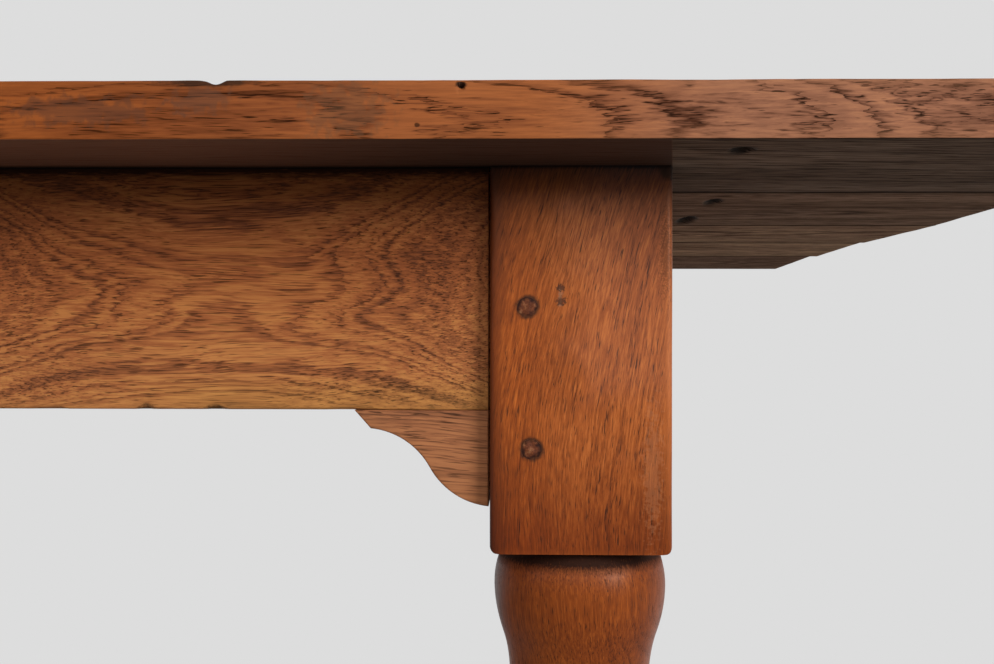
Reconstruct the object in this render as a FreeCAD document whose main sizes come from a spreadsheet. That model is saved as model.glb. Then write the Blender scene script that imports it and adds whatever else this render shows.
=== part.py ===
import FreeCAD
import Part
import Sketcher
import os
import re

# An oak refectory table: five boards on a pegged frame of four turned legs, four rails with ogee
# brackets, three bearers and an H of stretchers. Millimetres, +X along the table, -Y to the front,
# +Z up, with the origin on the floor below the middle of the top.

SIZES = {
    # The whole table: the top over its longest boards, the frame over the legs
    "table_height": 770,
    "top_length": 2424,
    "frame_length": 1918,
    "frame_width": 798,
    "side_overhang": 76,
    # Fits and cuts
    "joint_clearance": 0.15,
    "peg_clearance": 0.1,
    "cut_overrun": 5,
    # The boards of the top, numbered from the front: they share its width out in these proportions,
    # and each hand-sawn corner falls short of the longest one
    "top_thickness": 26,
    "plank_1_width": 183,
    "plank_2_width": 200,
    "plank_3_width": 162,
    "plank_4_width": 177,
    "plank_5_width": 228,
    "plank_gap": 0.4,
    "plank_arris": 2,
    "plank_1_right_near_short": 13,
    "plank_1_right_far_short": 10,
    "plank_1_left_near_short": 0,
    "plank_1_left_far_short": 9,
    "plank_2_right_near_short": 14,
    "plank_2_right_far_short": 7,
    "plank_2_left_near_short": 12,
    "plank_2_left_far_short": 15,
    "plank_3_right_near_short": 6.5,
    "plank_3_right_far_short": 12,
    "plank_3_left_near_short": 10,
    "plank_3_left_far_short": 6,
    "plank_4_right_near_short": 16,
    "plank_4_right_far_short": 8,
    "plank_4_left_near_short": 13,
    "plank_4_left_far_short": 9,
    "plank_5_right_near_short": 15,
    "plank_5_right_far_short": 0,
    "plank_5_left_near_short": 7,
    "plank_5_left_far_short": 11,
    # Loose tongues between the boards
    "tongue_thickness": 7,
    "tongue_width": 24,
    "tongue_end_stop": 70,
    # Blocks of the legs
    "leg_square": 92,
    "leg_arris": 2.5,
    "head_block_height": 196,
    "foot_block_height": 112,
    "foot_height": 60,
    "pommel_width": 3,
    "pommel_height": 4,
    # Turning of the legs from the head block down: each drop is taken below the one before it, and
    # the drops share out the length between the blocks in these proportions
    "shoulder_diameter": 80,
    "cushion_diameter": 92.4,
    "cushion_drop": 23,
    "neck_diameter": 75.4,
    "neck_drop": 50,
    "belly_diameter": 92,
    "belly_drop": 132,
    "ankle_diameter": 60,
    "ankle_drop": 110,
    "ring_diameter": 84,
    "ring_drop": 27,
    "quirk_diameter": 68,
    "quirk_drop": 20,
    "base_diameter": 82,
    "base_drop": 14,
    # Turning of the feet, with heights taken above the floor
    "foot_neck_diameter": 66,
    "foot_neck_height": 54,
    "bun_diameter": 90,
    "bun_height": 27,
    "foot_pad_diameter": 66,
    # Rails and their tenons
    "rail_height": 124,
    "rail_thickness": 26,
    "rail_setback": 10,
    "rail_arris": 1,
    "shoulder_gap": 0.4,
    "tenon_thickness": 9,
    "tenon_length": 50,
    "tenon_haunch": 14,
    "tenon_shoulder": 8,
    # Brackets under the rails
    "bracket_reach": 68,
    "bracket_drop": 49.5,
    "bracket_bevel_run": 8.4,
    "bracket_bevel_drop": 9.6,
    "bracket_curve_radius": 39,
    "bracket_tenon_length": 40,
    "bracket_tenon_height": 28,
    "bracket_tenon_top": 6,
    # Pegs of the frame
    "peg_diameter": 10.6,
    "peg_tip_diameter": 8.6,
    "peg_length": 62,
    "rail_peg_inset": 18.8,
    "rail_peg_drop": 71.3,
    "bracket_peg_inset": 21,
    "bracket_peg_drop": 19,
    # Stretchers low between the legs
    "stretcher_thickness": 44,
    "stretcher_height": 62,
    "stretcher_arris": 4,
    "stretcher_tenon_thickness": 14,
    "stretcher_tenon_height": 42,
    "stretcher_tenon_length": 48,
    "stretcher_peg_inset": 22,
    "stretcher_peg_length": 70,
    "middle_tenon_thickness": 20,
    "middle_tenon_width": 34,
    "middle_peg_length": 52,
    # Bearers housed into the long rails
    "bearer_width": 70,
    "bearer_height": 40,
    "bearer_spacing": 480,
    "bearer_housing": 12,
    # Pegs that hold the boards down
    "top_peg_diameter": 9,
    "top_peg_tip_diameter": 7.4,
    "top_peg_length": 56,
}
# Pegs stand at these shares of an inner board's width
TOP_PEG_SHARES = (0.23, 0.77)
# The outer pegs of a long rail stand this share of the way from the outer bearer to the leg
RAIL_PEG_SHARE = 0.62

FRAME_TOP = "(table_height - top_thickness)"
TOP_WIDTH = "(frame_width + 2 * side_overhang)"
TONGUE_LEVEL = "(table_height - top_thickness / 2)"
TONGUE_REACH = "(top_length / 2 - tongue_end_stop)"
RAIL_FOOT = f"({FRAME_TOP} - rail_height)"
TURN_TOP = f"({FRAME_TOP} - head_block_height)"
FOOT_BLOCK_TOP = "(foot_height + foot_block_height)"
STRETCHER_LEVEL = "(foot_height + foot_block_height / 2)"
LEG_X = "((frame_length - leg_square) / 2)"
LEG_Y = "((frame_width - leg_square) / 2)"
LONG_SPAN = "(frame_length - 2 * leg_square)"
END_SPAN = "(frame_width - 2 * leg_square)"
RAIL_INSET = "(rail_setback + rail_thickness / 2)"
LONG_RAIL_Y = f"(frame_width / 2 - {RAIL_INSET})"
END_RAIL_X = f"(frame_length / 2 - {RAIL_INSET})"
RAIL_TENON_HEIGHT = "(rail_height - tenon_haunch - tenon_shoulder)"
RAIL_PEG_LEVEL = f"({FRAME_TOP} - rail_peg_drop)"
BRACKET_PEG_LEVEL = f"({RAIL_FOOT} - bracket_peg_drop)"
PEG_HOLE = "(peg_diameter + 2 * peg_clearance)"
TOP_PEG_HOLE = "(top_peg_diameter + 2 * peg_clearance)"

doc = FreeCAD.newDocument("refectory_table")
sheet = doc.addObject("Spreadsheet::Sheet", "sizes")
for row, (alias, size) in enumerate(SIZES.items(), start=1):
    sheet.set(f"A{row}", alias.replace("_", " "))
    sheet.set(f"B{row}", str(size))
    sheet.setAlias(f"B{row}", alias)
doc.recompute()
nodes = []


def expression(formula):
    """A formula in size names, with each name pointed at its cell."""
    return re.sub(r"[a-z]\w*", lambda word: f"sizes.{word[0]}" if word[0] in SIZES else word[0], formula)


def value(formula):
    return float(sheet.evalExpression(expression(formula)))


def bind(thing, **formulas):
    """Bind properties to formulas; two underscores in a name stand for a dot."""
    for prop, formula in formulas.items():
        thing.setExpression(prop.replace("__", "."), expression(formula))


def place(thing, x, y, z, rotation):
    """Put a piece at a point given by formulas, turned by a rotation."""
    thing.Placement = FreeCAD.Placement(FreeCAD.Vector(0, 0, 0), rotation)
    bind(thing, Placement__Base__x=x, Placement__Base__y=y, Placement__Base__z=z)


def new_body(label, x="0", y="0", z="0", turned=0):
    """A piece of its own, placed at a point and turned about the upright by whole degrees."""
    body = doc.addObject("PartDesign::Body", label)
    body.Label = label
    place(body, x, y, z, FreeCAD.Rotation(FreeCAD.Vector(0, 0, 1), turned))
    nodes.append(body)
    return body


def new_sketch(body, plane, offset="0"):
    """A sketch on one of the body's own origin planes, moved along the plane's normal."""
    sketch = body.newObject("Sketcher::SketchObject", f"{body.Name}_outline")
    support = next(feature for feature in body.Origin.OriginFeatures if feature.Role == plane)
    sketch.AttachmentSupport = [(support, "")]
    sketch.MapMode = "FlatFace"
    bind(sketch, AttachmentOffset__Base__z=offset)
    return sketch


def dimension(sketch, kind, formula, *where):
    """A driving dimension of a sketch, bound to a formula."""
    index = sketch.addConstraint(Sketcher.Constraint(kind, *where, value(formula)))
    sketch.setExpression(f"Constraints[{index}]", expression(formula))


def pin(sketch, line, end, point):
    """Hold one end of a line or arc, or a circle's middle, at a point given by two formulas."""
    dimension(sketch, "DistanceX", point[0], -1, 1, line, end)
    dimension(sketch, "DistanceY", point[1], -1, 1, line, end)


def polygon(sketch, points):
    """A closed outline of straight lines through points given by formulas."""
    spots = [FreeCAD.Vector(value(x), value(y), 0) for x, y in points]
    ends = spots[1:] + spots[:1]
    lines = [sketch.addGeometry(Part.LineSegment(*pair)) for pair in zip(spots, ends)]
    for line, following, point in zip(lines, lines[1:] + lines[:1], points):
        sketch.addConstraint(Sketcher.Constraint("Coincident", line, 2, following, 1))
        pin(sketch, line, 1, point)


def rectangle(sketch, x_from, x_to, y_from, y_to):
    polygon(sketch, [(x_from, y_from), (x_to, y_from), (x_to, y_to), (x_from, y_to)])


def circle(sketch, x, y, diameter):
    middle = FreeCAD.Vector(value(x), value(y), 0)
    ring = sketch.addGeometry(Part.Circle(middle, FreeCAD.Vector(0, 0, 1), value(diameter) / 2))
    pin(sketch, ring, 3, (x, y))
    dimension(sketch, "Diameter", diameter, ring)


def add_arc(sketch, start, end, centre):
    """An arc about a centre, with which of its ends, 1 or 2, lies at the start and at the end."""
    crown = centre + ((start + end) / 2 - centre).normalize() * (start - centre).Length
    arc = sketch.addGeometry(Part.Arc(start, crown, end))
    first = min((1, 2), key=lambda tip: sketch.getPoint(arc, tip).distanceToPoint(start))
    return arc, (arc, first), (arc, 3 - first)


def outline(sketch, points, curves):
    """A closed outline through points given by formulas, straight where curves gives no form.

    A form is keyed by the number of the stretch's first point. "bow" is one arc that runs
    upright at the stretch's "start" or "end". "ogee" is two equal arcs that meet halfway, with
    the radius named, or upright at both ends where none is named.
    """
    spots = [FreeCAD.Vector(value(x), value(y), 0) for x, y in points]
    tips = [[] for _ in points]
    for first, start in enumerate(spots):
        second = (first + 1) % len(spots)
        end = spots[second]
        form, detail = curves.get(first, ("line", None))
        across = f"(({points[second][0]}) - ({points[first][0]}))"
        up = f"(({points[second][1]}) - ({points[first][1]}))"
        aside = FreeCAD.Vector(1 if end.x > start.x else -1, 0, 0)
        if form == "line":
            line = sketch.addGeometry(Part.LineSegment(start, end))
            from_start, to_end = (line, 1), (line, 2)
        elif form == "bow":
            radius = f"({across} ^ 2 + {up} ^ 2) / (2 * abs({across}))"
            reach = aside * value(radius)
            centre = start + reach if detail == "start" else end - reach
            arc, from_start, to_end = add_arc(sketch, start, end, centre)
            dimension(sketch, "Radius", radius, arc)
        else:
            radius = detail or f"({across} ^ 2 + {up} ^ 2) / (4 * abs({across}))"
            halfway = (start + end) / 2
            centre = start + aside * value(radius)
            if detail:
                chord = halfway - start
                square_to = FreeCAD.Vector(chord.y, -chord.x, 0).normalize()
                centre = start + chord / 2 + square_to * (value(radius) ** 2 - chord.Length ** 2 / 4) ** 0.5
            arc, from_start, middle = add_arc(sketch, start, halfway, centre)
            other_arc, other_middle, to_end = add_arc(sketch, halfway, end, halfway * 2 - centre)
            sketch.addConstraint(Sketcher.Constraint("Coincident", *middle, *other_middle))
            sketch.addConstraint(Sketcher.Constraint("Symmetric", *from_start, *to_end, *middle))
            sketch.addConstraint(Sketcher.Constraint("Equal", arc, other_arc))
            dimension(sketch, "Radius", radius, arc)
        tips[first].append(from_start)
        tips[second].append(to_end)
    for point, (one, other) in zip(points, tips):
        sketch.addConstraint(Sketcher.Constraint("Coincident", *one, *other))
        pin(sketch, *one, point)


def extrude(body, kind, sketch, length):
    feature = body.newObject(f"PartDesign::{kind}", f"{body.Name}_{kind.lower()}")
    feature.Profile = sketch
    bind(feature, Length=length)
    return feature


def turn(body, kind, sketch):
    """Turn an outline, drawn beside the upright axis, into wood added or taken away."""
    feature = body.newObject(f"PartDesign::{kind}", f"{body.Name}_{kind.lower()}")
    feature.Profile = sketch
    feature.ReferenceAxis = (sketch, ["V_Axis"])
    return feature


def add_block(body, x_range, y_range, foot, height):
    """A squared block of wood standing on a level."""
    sketch = new_sketch(body, "XY_Plane", foot)
    rectangle(sketch, *x_range, *y_range)
    return extrude(body, "Pad", sketch, height)


def cut_block(body, x_range, y_range, top, depth):
    """A squared mortise, groove or housing, cut down from a level."""
    sketch = new_sketch(body, "XY_Plane", top)
    rectangle(sketch, *x_range, *y_range)
    return extrude(body, "Pocket", sketch, depth)


def bore_down(body, spots, diameter, top, depth):
    """Upright holes at spots on the plan, bored down from a level."""
    sketch = new_sketch(body, "XY_Plane", top)
    for x, y in spots:
        circle(sketch, x, y, diameter)
    return extrude(body, "Pocket", sketch, depth)


def bore_for_top(body, spots):
    """Holes in the top of the frame for the pegs that hold the boards down."""
    depth = "top_peg_length - top_thickness + peg_clearance"
    return bore_down(body, spots, TOP_PEG_HOLE, FRAME_TOP, depth)


def bore_back(body, spots, diameter, front, depth):
    """Level holes at spots on the front view, bored towards +Y from a depth."""
    sketch = new_sketch(body, "XZ_Plane", f"-1 * ({front})")
    for x, z in spots:
        circle(sketch, x, z, diameter)
    return extrude(body, "Pocket", sketch, depth)


def bore_left(body, spots, diameter, right, depth):
    """Level holes at spots on the side view, bored towards -X from a place on the length."""
    sketch = new_sketch(body, "YZ_Plane", right)
    for y, z in spots:
        circle(sketch, y, z, diameter)
    return extrude(body, "Pocket", sketch, depth)


def round_edges(body, radius, chosen):
    """Round every edge of the body for which chosen(edge) is true."""
    doc.recompute()
    base = body.Tip
    names = [f"Edge{number}" for number, edge in enumerate(base.Shape.Edges, start=1) if chosen(edge)]
    fillet = body.newObject("PartDesign::Fillet", f"{body.Name}_fillet")
    fillet.Base = (base, names)
    bind(fillet, Radius=radius)


def near(one, other):
    """Whether two lengths agree to a thousandth."""
    return round(one - other, 3) == 0


def running_shares(names):
    """Formulas for how much of a row of sizes is reached at the end of each of them, up to 1."""
    return [f"({' + '.join(names[:count])}) / ({' + '.join(names)})" for count in range(1, len(names) + 1)]


def both(half):
    """The range that reaches half as far either side of zero."""
    return f"-1 * ({half})", half


def about(middle, half):
    """The range that reaches half as far either side of a middle."""
    return f"({middle}) - ({half})", f"({middle}) + ({half})"


def leg(label, inward_x, inward_y):
    """A turned leg; the two signs say on which side of it the middle of the table lies."""
    half = "(leg_square / 2)"
    square = both(half)
    body = new_body(label, f"{-inward_x} * {LEG_X}", f"{-inward_y} * {LEG_Y}")
    add_block(body, square, square, TURN_TOP, "head_block_height")

    # Turned between the blocks and below them: cushion, neck, belly, ankle, ring and bun foot
    features = ("cushion", "neck", "belly", "ankle", "ring", "quirk", "base")
    shares = running_shares([f"{name}_drop" for name in features])
    levels = [f"{TURN_TOP} - ({TURN_TOP} - {FOOT_BLOCK_TOP}) * {share}" for share in shares]
    profile = new_sketch(body, "XZ_Plane")
    outline(profile, [
        ("0", f"{TURN_TOP} + cut_overrun"),
        ("shoulder_diameter / 2", f"{TURN_TOP} + cut_overrun"),
        ("shoulder_diameter / 2", TURN_TOP),
        *((f"{name}_diameter / 2", level) for name, level in zip(features, levels)),
        ("base_diameter / 2", f"{FOOT_BLOCK_TOP} - cut_overrun"),
        ("foot_neck_diameter / 2", f"{FOOT_BLOCK_TOP} - cut_overrun"),
        ("foot_neck_diameter / 2", "foot_neck_height"),
        ("bun_diameter / 2", "bun_height"),
        ("foot_pad_diameter / 2", "0"),
        ("0", "0"),
    ], {
        2: ("bow", "end"),
        3: ("ogee", None),
        4: ("ogee", None),
        5: ("ogee", None),
        6: ("ogee", None),
        7: ("ogee", None),
        8: ("bow", "start"),
        12: ("ogee", None),
        13: ("bow", "start"),
    })
    turn(body, "Revolution", profile)
    add_block(body, square, square, "foot_height", "foot_block_height")

    # Softened upright arrises, and corners that the lathe rounded at the ends of the blocks
    corner = value(half)
    round_edges(body, "leg_arris", lambda edge: all(
        near(abs(end.X), corner) and near(abs(end.Y), corner) for end in edge.Vertexes)
        and edge.BoundBox.ZLength > edge.BoundBox.XLength + edge.BoundBox.YLength)
    inner = "(leg_square / sqrt(2) - pommel_width)"
    outer = "(leg_square / sqrt(2) + pommel_width)"
    pommels = new_sketch(body, "XZ_Plane")
    for level, up in ((TURN_TOP, 1), (FOOT_BLOCK_TOP, -1), ("foot_height", 1)):
        clear = f"{level} - {up} * cut_overrun"
        polygon(pommels, [(inner, level), (inner, clear), (outer, clear),
                          (outer, f"{level} + {up} * 2 * pommel_height")])
    turn(body, "Groove", pommels)

    # Mortises of the long and the end rail, of the two brackets and of the stretcher
    rail_line = f"({half} - {RAIL_INSET})"
    cheek = "tenon_thickness / 2 + joint_clearance"
    for length, top, height in (
            ("tenon_length", f"{FRAME_TOP} - tenon_haunch", RAIL_TENON_HEIGHT),
            ("bracket_tenon_length", f"{RAIL_FOOT} - bracket_tenon_top", "bracket_tenon_height")):
        bottom, mouth = f"({half} - {length} - joint_clearance)", f"({half} + cut_overrun)"
        level, depth = f"{top} + joint_clearance", f"{height} + 2 * joint_clearance"
        cut_block(body, (f"{inward_x} * {bottom}", f"{inward_x} * {mouth}"),
                  about(f"{-inward_y} * {rail_line}", cheek), level, depth)
        cut_block(body, about(f"{-inward_x} * {rail_line}", cheek),
                  (f"{inward_y} * {bottom}", f"{inward_y} * {mouth}"), level, depth)
    bottom = f"({half} - stretcher_tenon_length - joint_clearance)"
    cut_block(body, both("stretcher_tenon_thickness / 2 + joint_clearance"),
              (f"{inward_y} * {bottom}", f"{inward_y} * ({half} + cut_overrun)"),
              f"{STRETCHER_LEVEL} + stretcher_tenon_height / 2 + joint_clearance",
              "stretcher_tenon_height + 2 * joint_clearance")

    # Peg holes from the two outer faces, and the one for the peg that holds the top
    for inset, level in (("rail_peg_inset", RAIL_PEG_LEVEL), ("bracket_peg_inset", BRACKET_PEG_LEVEL)):
        aside = f"({half} - {inset})"
        bottom = f"({half} - peg_length - peg_clearance)"
        depth = "peg_length + peg_clearance + cut_overrun"
        bore_back(body, [(f"{inward_x} * {aside}", level)], PEG_HOLE,
                  f"-1 * {half} - cut_overrun" if inward_y > 0 else bottom, depth)
        bore_left(body, [(f"{inward_y} * {aside}", level)], PEG_HOLE,
                  f"-1 * {bottom}" if inward_x > 0 else f"{half} + cut_overrun", depth)
    bottom = f"({half} - stretcher_peg_length - peg_clearance)"
    bore_left(body, [(f"{inward_y} * ({half} - stretcher_peg_inset)", STRETCHER_LEVEL)], PEG_HOLE,
              f"-1 * {bottom}" if inward_x > 0 else f"{half} + cut_overrun",
              "stretcher_peg_length + peg_clearance + cut_overrun")
    bore_for_top(body, [("0", "0")])


def along(level):
    """Picks the long straight edges at a level."""
    return lambda edge: near(edge.BoundBox.ZLength, 0) and near(edge.BoundBox.YLength, 0) and near(
        edge.BoundBox.ZMin, value(level))


def rail(label, span, peg_spots, housings, **where):
    """A rail on edge between two legs, tenoned at both ends, with its inner face to local +Y."""
    body = new_body(label, **where)
    add_block(body, both(f"{span} / 2 - shoulder_gap"), both("rail_thickness / 2"), RAIL_FOOT, "rail_height")
    round_edges(body, "rail_arris", along(RAIL_FOOT))
    add_block(body, both(f"{span} / 2 + tenon_length"), both("tenon_thickness / 2"),
              f"{RAIL_FOOT} + tenon_shoulder", RAIL_TENON_HEIGHT)
    peg_line = f"({span} / 2 + rail_peg_inset)"
    bore_back(body, [(f"-1 * {peg_line}", RAIL_PEG_LEVEL), (peg_line, RAIL_PEG_LEVEL)], PEG_HOLE,
              "-1 * tenon_thickness", "2 * tenon_thickness")
    housing = ("rail_thickness / 2 - bearer_housing - joint_clearance", "rail_thickness / 2 + cut_overrun")
    for spot in housings:
        cut_block(body, about(spot, "bearer_width / 2 + joint_clearance"), housing,
                  f"{FRAME_TOP} + cut_overrun", "bearer_height + joint_clearance + cut_overrun")
    bore_for_top(body, [(spot, "0") for spot in peg_spots])


def bracket(label, **where):
    """An ogee bracket under a rail, its tip to local -X and its tenon to local +X."""
    body = new_body(label, z=RAIL_FOOT, **where)
    face = new_sketch(body, "XZ_Plane", "-1 * rail_thickness / 2")
    outline(face, [
        ("-1 * shoulder_gap", "0"),
        ("-1 * bracket_reach", "0"),
        ("bracket_bevel_run - bracket_reach", "-1 * bracket_bevel_drop"),
        ("-1 * shoulder_gap", "-1 * bracket_drop"),
    ], {2: ("ogee", "bracket_curve_radius")})
    extrude(body, "Pad", face, "rail_thickness")
    add_block(body, ("-1 * bracket_bevel_run", "bracket_tenon_length"), both("tenon_thickness / 2"),
              "-1 * (bracket_tenon_top + bracket_tenon_height)", "bracket_tenon_height")
    bore_back(body, [("bracket_peg_inset", "-1 * bracket_peg_drop")], PEG_HOLE,
              "-1 * tenon_thickness", "2 * tenon_thickness")


def bar(label, reach, **where):
    """A stretcher bar with softened arrises, reaching as far either way along local X."""
    body = new_body(label, **where)
    foot = f"{STRETCHER_LEVEL} - stretcher_height / 2"
    add_block(body, both(reach), both("stretcher_thickness / 2"), foot, "stretcher_height")
    top = f"{STRETCHER_LEVEL} + stretcher_height / 2"
    on_foot, on_top = along(foot), along(top)
    round_edges(body, "stretcher_arris", lambda edge: on_foot(edge) or on_top(edge))
    return body


def end_stretcher(label, **where):
    """A bar between a front and a back leg, mortised for the middle stretcher."""
    body = bar(label, f"{END_SPAN} / 2 - shoulder_gap", **where)
    add_block(body, both(f"{END_SPAN} / 2 + stretcher_tenon_length"), both("stretcher_tenon_thickness / 2"),
              f"{STRETCHER_LEVEL} - stretcher_tenon_height / 2", "stretcher_tenon_height")
    peg_line = f"({END_SPAN} / 2 + stretcher_peg_inset)"
    bore_back(body, [(f"-1 * {peg_line}", STRETCHER_LEVEL), (peg_line, STRETCHER_LEVEL)], PEG_HOLE,
              "-1 * stretcher_tenon_thickness", "2 * stretcher_tenon_thickness")
    cut_block(body, both("middle_tenon_width / 2 + joint_clearance"),
              both("stretcher_thickness / 2 + cut_overrun"),
              f"{STRETCHER_LEVEL} + middle_tenon_thickness / 2 + joint_clearance",
              "middle_tenon_thickness + 2 * joint_clearance")
    bore_down(body, [("0", "0")], PEG_HOLE, f"{STRETCHER_LEVEL} + stretcher_height / 2",
              "middle_peg_length + peg_clearance")


def middle_stretcher(label):
    """The bar between the end stretchers, with tenons that pass through them."""
    body = bar(label, f"{LEG_X} - stretcher_thickness / 2 - shoulder_gap")
    add_block(body, both(f"{LEG_X} + stretcher_thickness / 2"), both("middle_tenon_width / 2"),
              f"{STRETCHER_LEVEL} - middle_tenon_thickness / 2", "middle_tenon_thickness")
    bore_down(body, [(f"-1 * {LEG_X}", "0"), (LEG_X, "0")], PEG_HOLE,
              f"{STRETCHER_LEVEL} + stretcher_height / 2", "stretcher_height")


def bearer(label, x, peg_spots):
    """A cross bearer that lies flush with the tops of the long rails, housed into both."""
    body = new_body(label, x)
    add_block(body, both("bearer_width / 2"), both(f"{LONG_RAIL_Y} - rail_thickness / 2 + bearer_housing"),
              f"{FRAME_TOP} - bearer_height", "bearer_height")
    bore_for_top(body, [("0", y) for y in peg_spots])


def plank(number, near_joint, far_joint, last, peg_spots):
    """A board of the top, grooved where a neighbour lies against it, with hand-sawn ends."""
    name = f"plank_{number}"
    body = new_body(f"top_{name}")
    near_edge = near_joint if number == 1 else f"({near_joint} + plank_gap / 2)"
    far_edge = far_joint if number == last else f"({far_joint} - plank_gap / 2)"
    plan = new_sketch(body, "XY_Plane", FRAME_TOP)
    polygon(plan, [
        (f"{name}_left_near_short - top_length / 2", near_edge),
        (f"top_length / 2 - {name}_right_near_short", near_edge),
        (f"top_length / 2 - {name}_right_far_short", far_edge),
        (f"{name}_left_far_short - top_length / 2", far_edge),
    ])
    extrude(body, "Pad", plan, "top_thickness")
    joints = [value(near_edge)] * (number > 1) + [value(far_edge)] * (number < last)
    round_edges(body, "plank_arris", lambda edge: near(edge.BoundBox.ZMin, value("table_height")) and not (
        near(edge.BoundBox.YLength, 0) and any(near(edge.BoundBox.YMin, joint) for joint in joints)))
    for joint, outward, there in ((near_joint, -1, number > 1), (far_joint, 1, number < last)):
        if there:
            cut_block(body, both(f"{TONGUE_REACH} + joint_clearance"),
                      (f"{joint} + {outward} * cut_overrun",
                       f"{joint} - {outward} * (tongue_width / 2 + joint_clearance)"),
                      f"{TONGUE_LEVEL} + tongue_thickness / 2 + joint_clearance",
                      "tongue_thickness + 2 * joint_clearance")
    bore_down(body, peg_spots, TOP_PEG_HOLE, "table_height + cut_overrun", "top_thickness + 2 * cut_overrun")


def tongue(number, joint):
    """A loose tongue that lies in the grooves of two boards."""
    body = new_body(f"top_tongue_{number}")
    add_block(body, both(TONGUE_REACH), about(joint, "tongue_width / 2"),
              f"{TONGUE_LEVEL} - tongue_thickness / 2", "tongue_thickness")


def pegs(label, diameter, tip_diameter, spots):
    """Tapered pegs, one for each spot: the middle of the head, the way it was driven and the length."""
    group = []
    for x, y, z, driven, length in spots:
        peg = doc.addObject("Part::Cone", f"{label}_one")
        bind(peg, Radius1=f"{diameter} / 2", Radius2=f"{tip_diameter} / 2", Height=length)
        place(peg, x, y, z, FreeCAD.Rotation(FreeCAD.Vector(0, 0, 1), FreeCAD.Vector(*driven)))
        group.append(peg)
    compound = doc.addObject("Part::Compound", label)
    compound.Label = label
    compound.Links = group
    nodes.append(compound)


# Plan of the top: the joints between its boards from front to back, and the pegs that hold each board
plank_count = 5
shares = running_shares([f"plank_{number}_width" for number in range(1, plank_count + 1)])
joints = [f"(-1 * {TOP_WIDTH} / 2)"] + [f"({TOP_WIDTH} * ({share} - 1 / 2))" for share in shares]
bearer_lines = {"left": "-1 * bearer_spacing", "middle": "0", "right": "bearer_spacing"}
rail_face = f"({LONG_RAIL_Y} - rail_thickness / 2)"
outer_lines = [f"(({joints[1]} - {rail_face}) / 2)", f"(({joints[-2]} + {rail_face}) / 2)"]
end_rail_lines = []
outer_spot = f"(bearer_spacing + {RAIL_PEG_SHARE} * ({LONG_SPAN} / 2 - bearer_spacing))"
rail_spots = [f"-1 * {outer_spot}", "-1 * bearer_spacing / 2", "bearer_spacing / 2", outer_spot]
top_spots = {}
for number in range(2, plank_count):
    near_joint, far_joint = joints[number - 1], joints[number]
    lines = [f"({near_joint} + {share} * ({far_joint} - {near_joint}))" for share in TOP_PEG_SHARES]
    carriers = (*bearer_lines.values(), f"-1 * {END_RAIL_X}", END_RAIL_X)
    top_spots[number] = [(x, y) for x in carriers for y in lines]
    end_rail_lines += lines
for number, side, line in ((1, -1, outer_lines[0]), (plank_count, 1, outer_lines[1])):
    top_spots[number] = [(x, line) for x in bearer_lines.values()]
    top_spots[number] += [(x, f"{side} * {LONG_RAIL_Y}") for x in rail_spots]
    top_spots[number] += [(f"{end} * {LEG_X}", f"{side} * {LEG_Y}") for end in (-1, 1)]

# The frame, corner by corner and side by side
ends, sides = {"left": -1, "right": 1}, {"front": -1, "back": 1}
for side, y_sign in sides.items():
    for end, x_sign in ends.items():
        leg(f"leg_{side}_{end}", -x_sign, -y_sign)
        bracket(f"bracket_{side}_{end}", x=f"{x_sign} * {LONG_SPAN} / 2", y=f"{y_sign} * {LONG_RAIL_Y}",
                turned=0 if x_sign > 0 else 180)
        bracket(f"bracket_{end}_{side}", x=f"{x_sign} * {END_RAIL_X}", y=f"{y_sign} * {END_SPAN} / 2",
                turned=90 * y_sign)
    rail(f"rail_{side}", LONG_SPAN, rail_spots, bearer_lines.values(), y=f"{y_sign} * {LONG_RAIL_Y}",
         turned=0 if y_sign < 0 else 180)
for end, x_sign in ends.items():
    rail(f"rail_{end}", END_SPAN, [f"{x_sign} * {line}" for line in end_rail_lines], (),
         x=f"{x_sign} * {END_RAIL_X}", turned=90 * x_sign)
    end_stretcher(f"stretcher_{end}", x=f"{x_sign} * {LEG_X}", turned=90)
middle_stretcher("stretcher_middle")
for name, line in bearer_lines.items():
    bearer(f"bearer_{name}", line, [outer_lines[0], *end_rail_lines, outer_lines[1]])

# The boards of the top and the tongues between them
for number in range(1, plank_count + 1):
    plank(number, joints[number - 1], joints[number], plank_count, top_spots[number])
for number in range(1, plank_count):
    tongue(number, joints[number])

# The pegs, driven from the outer faces of the legs and from above
corners = [(x_sign, y_sign) for x_sign in ends.values() for y_sign in sides.values()]
for label, inset, level in (("rail_pegs", "rail_peg_inset", RAIL_PEG_LEVEL),
                            ("bracket_pegs", "bracket_peg_inset", BRACKET_PEG_LEVEL)):
    spots = []
    for x, y in corners:
        from_side = (f"{x} * ({LONG_SPAN} / 2 + {inset})", f"{y} * frame_width / 2", level)
        from_end = (f"{x} * frame_length / 2", f"{y} * ({END_SPAN} / 2 + {inset})", level)
        spots += [(*from_side, (0, -y, 0), "peg_length"), (*from_end, (-x, 0, 0), "peg_length")]
    pegs(label, "peg_diameter", "peg_tip_diameter", spots)
stretcher_spots = []
for x, y in corners:
    head = (f"{x} * frame_length / 2", f"{y} * ({END_SPAN} / 2 + stretcher_peg_inset)", STRETCHER_LEVEL)
    stretcher_spots.append((*head, (-x, 0, 0), "stretcher_peg_length"))
for x in ends.values():
    head = (f"{x} * {LEG_X}", "0", f"{STRETCHER_LEVEL} + stretcher_height / 2")
    stretcher_spots.append((*head, (0, 0, -1), "middle_peg_length"))
pegs("stretcher_pegs", "peg_diameter", "peg_tip_diameter", stretcher_spots)
pegs("top_pegs", "top_peg_diameter", "top_peg_tip_diameter",
     [(x, y, "table_height", (0, 0, -1), "top_peg_length") for spots in top_spots.values() for x, y in spots])

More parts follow.
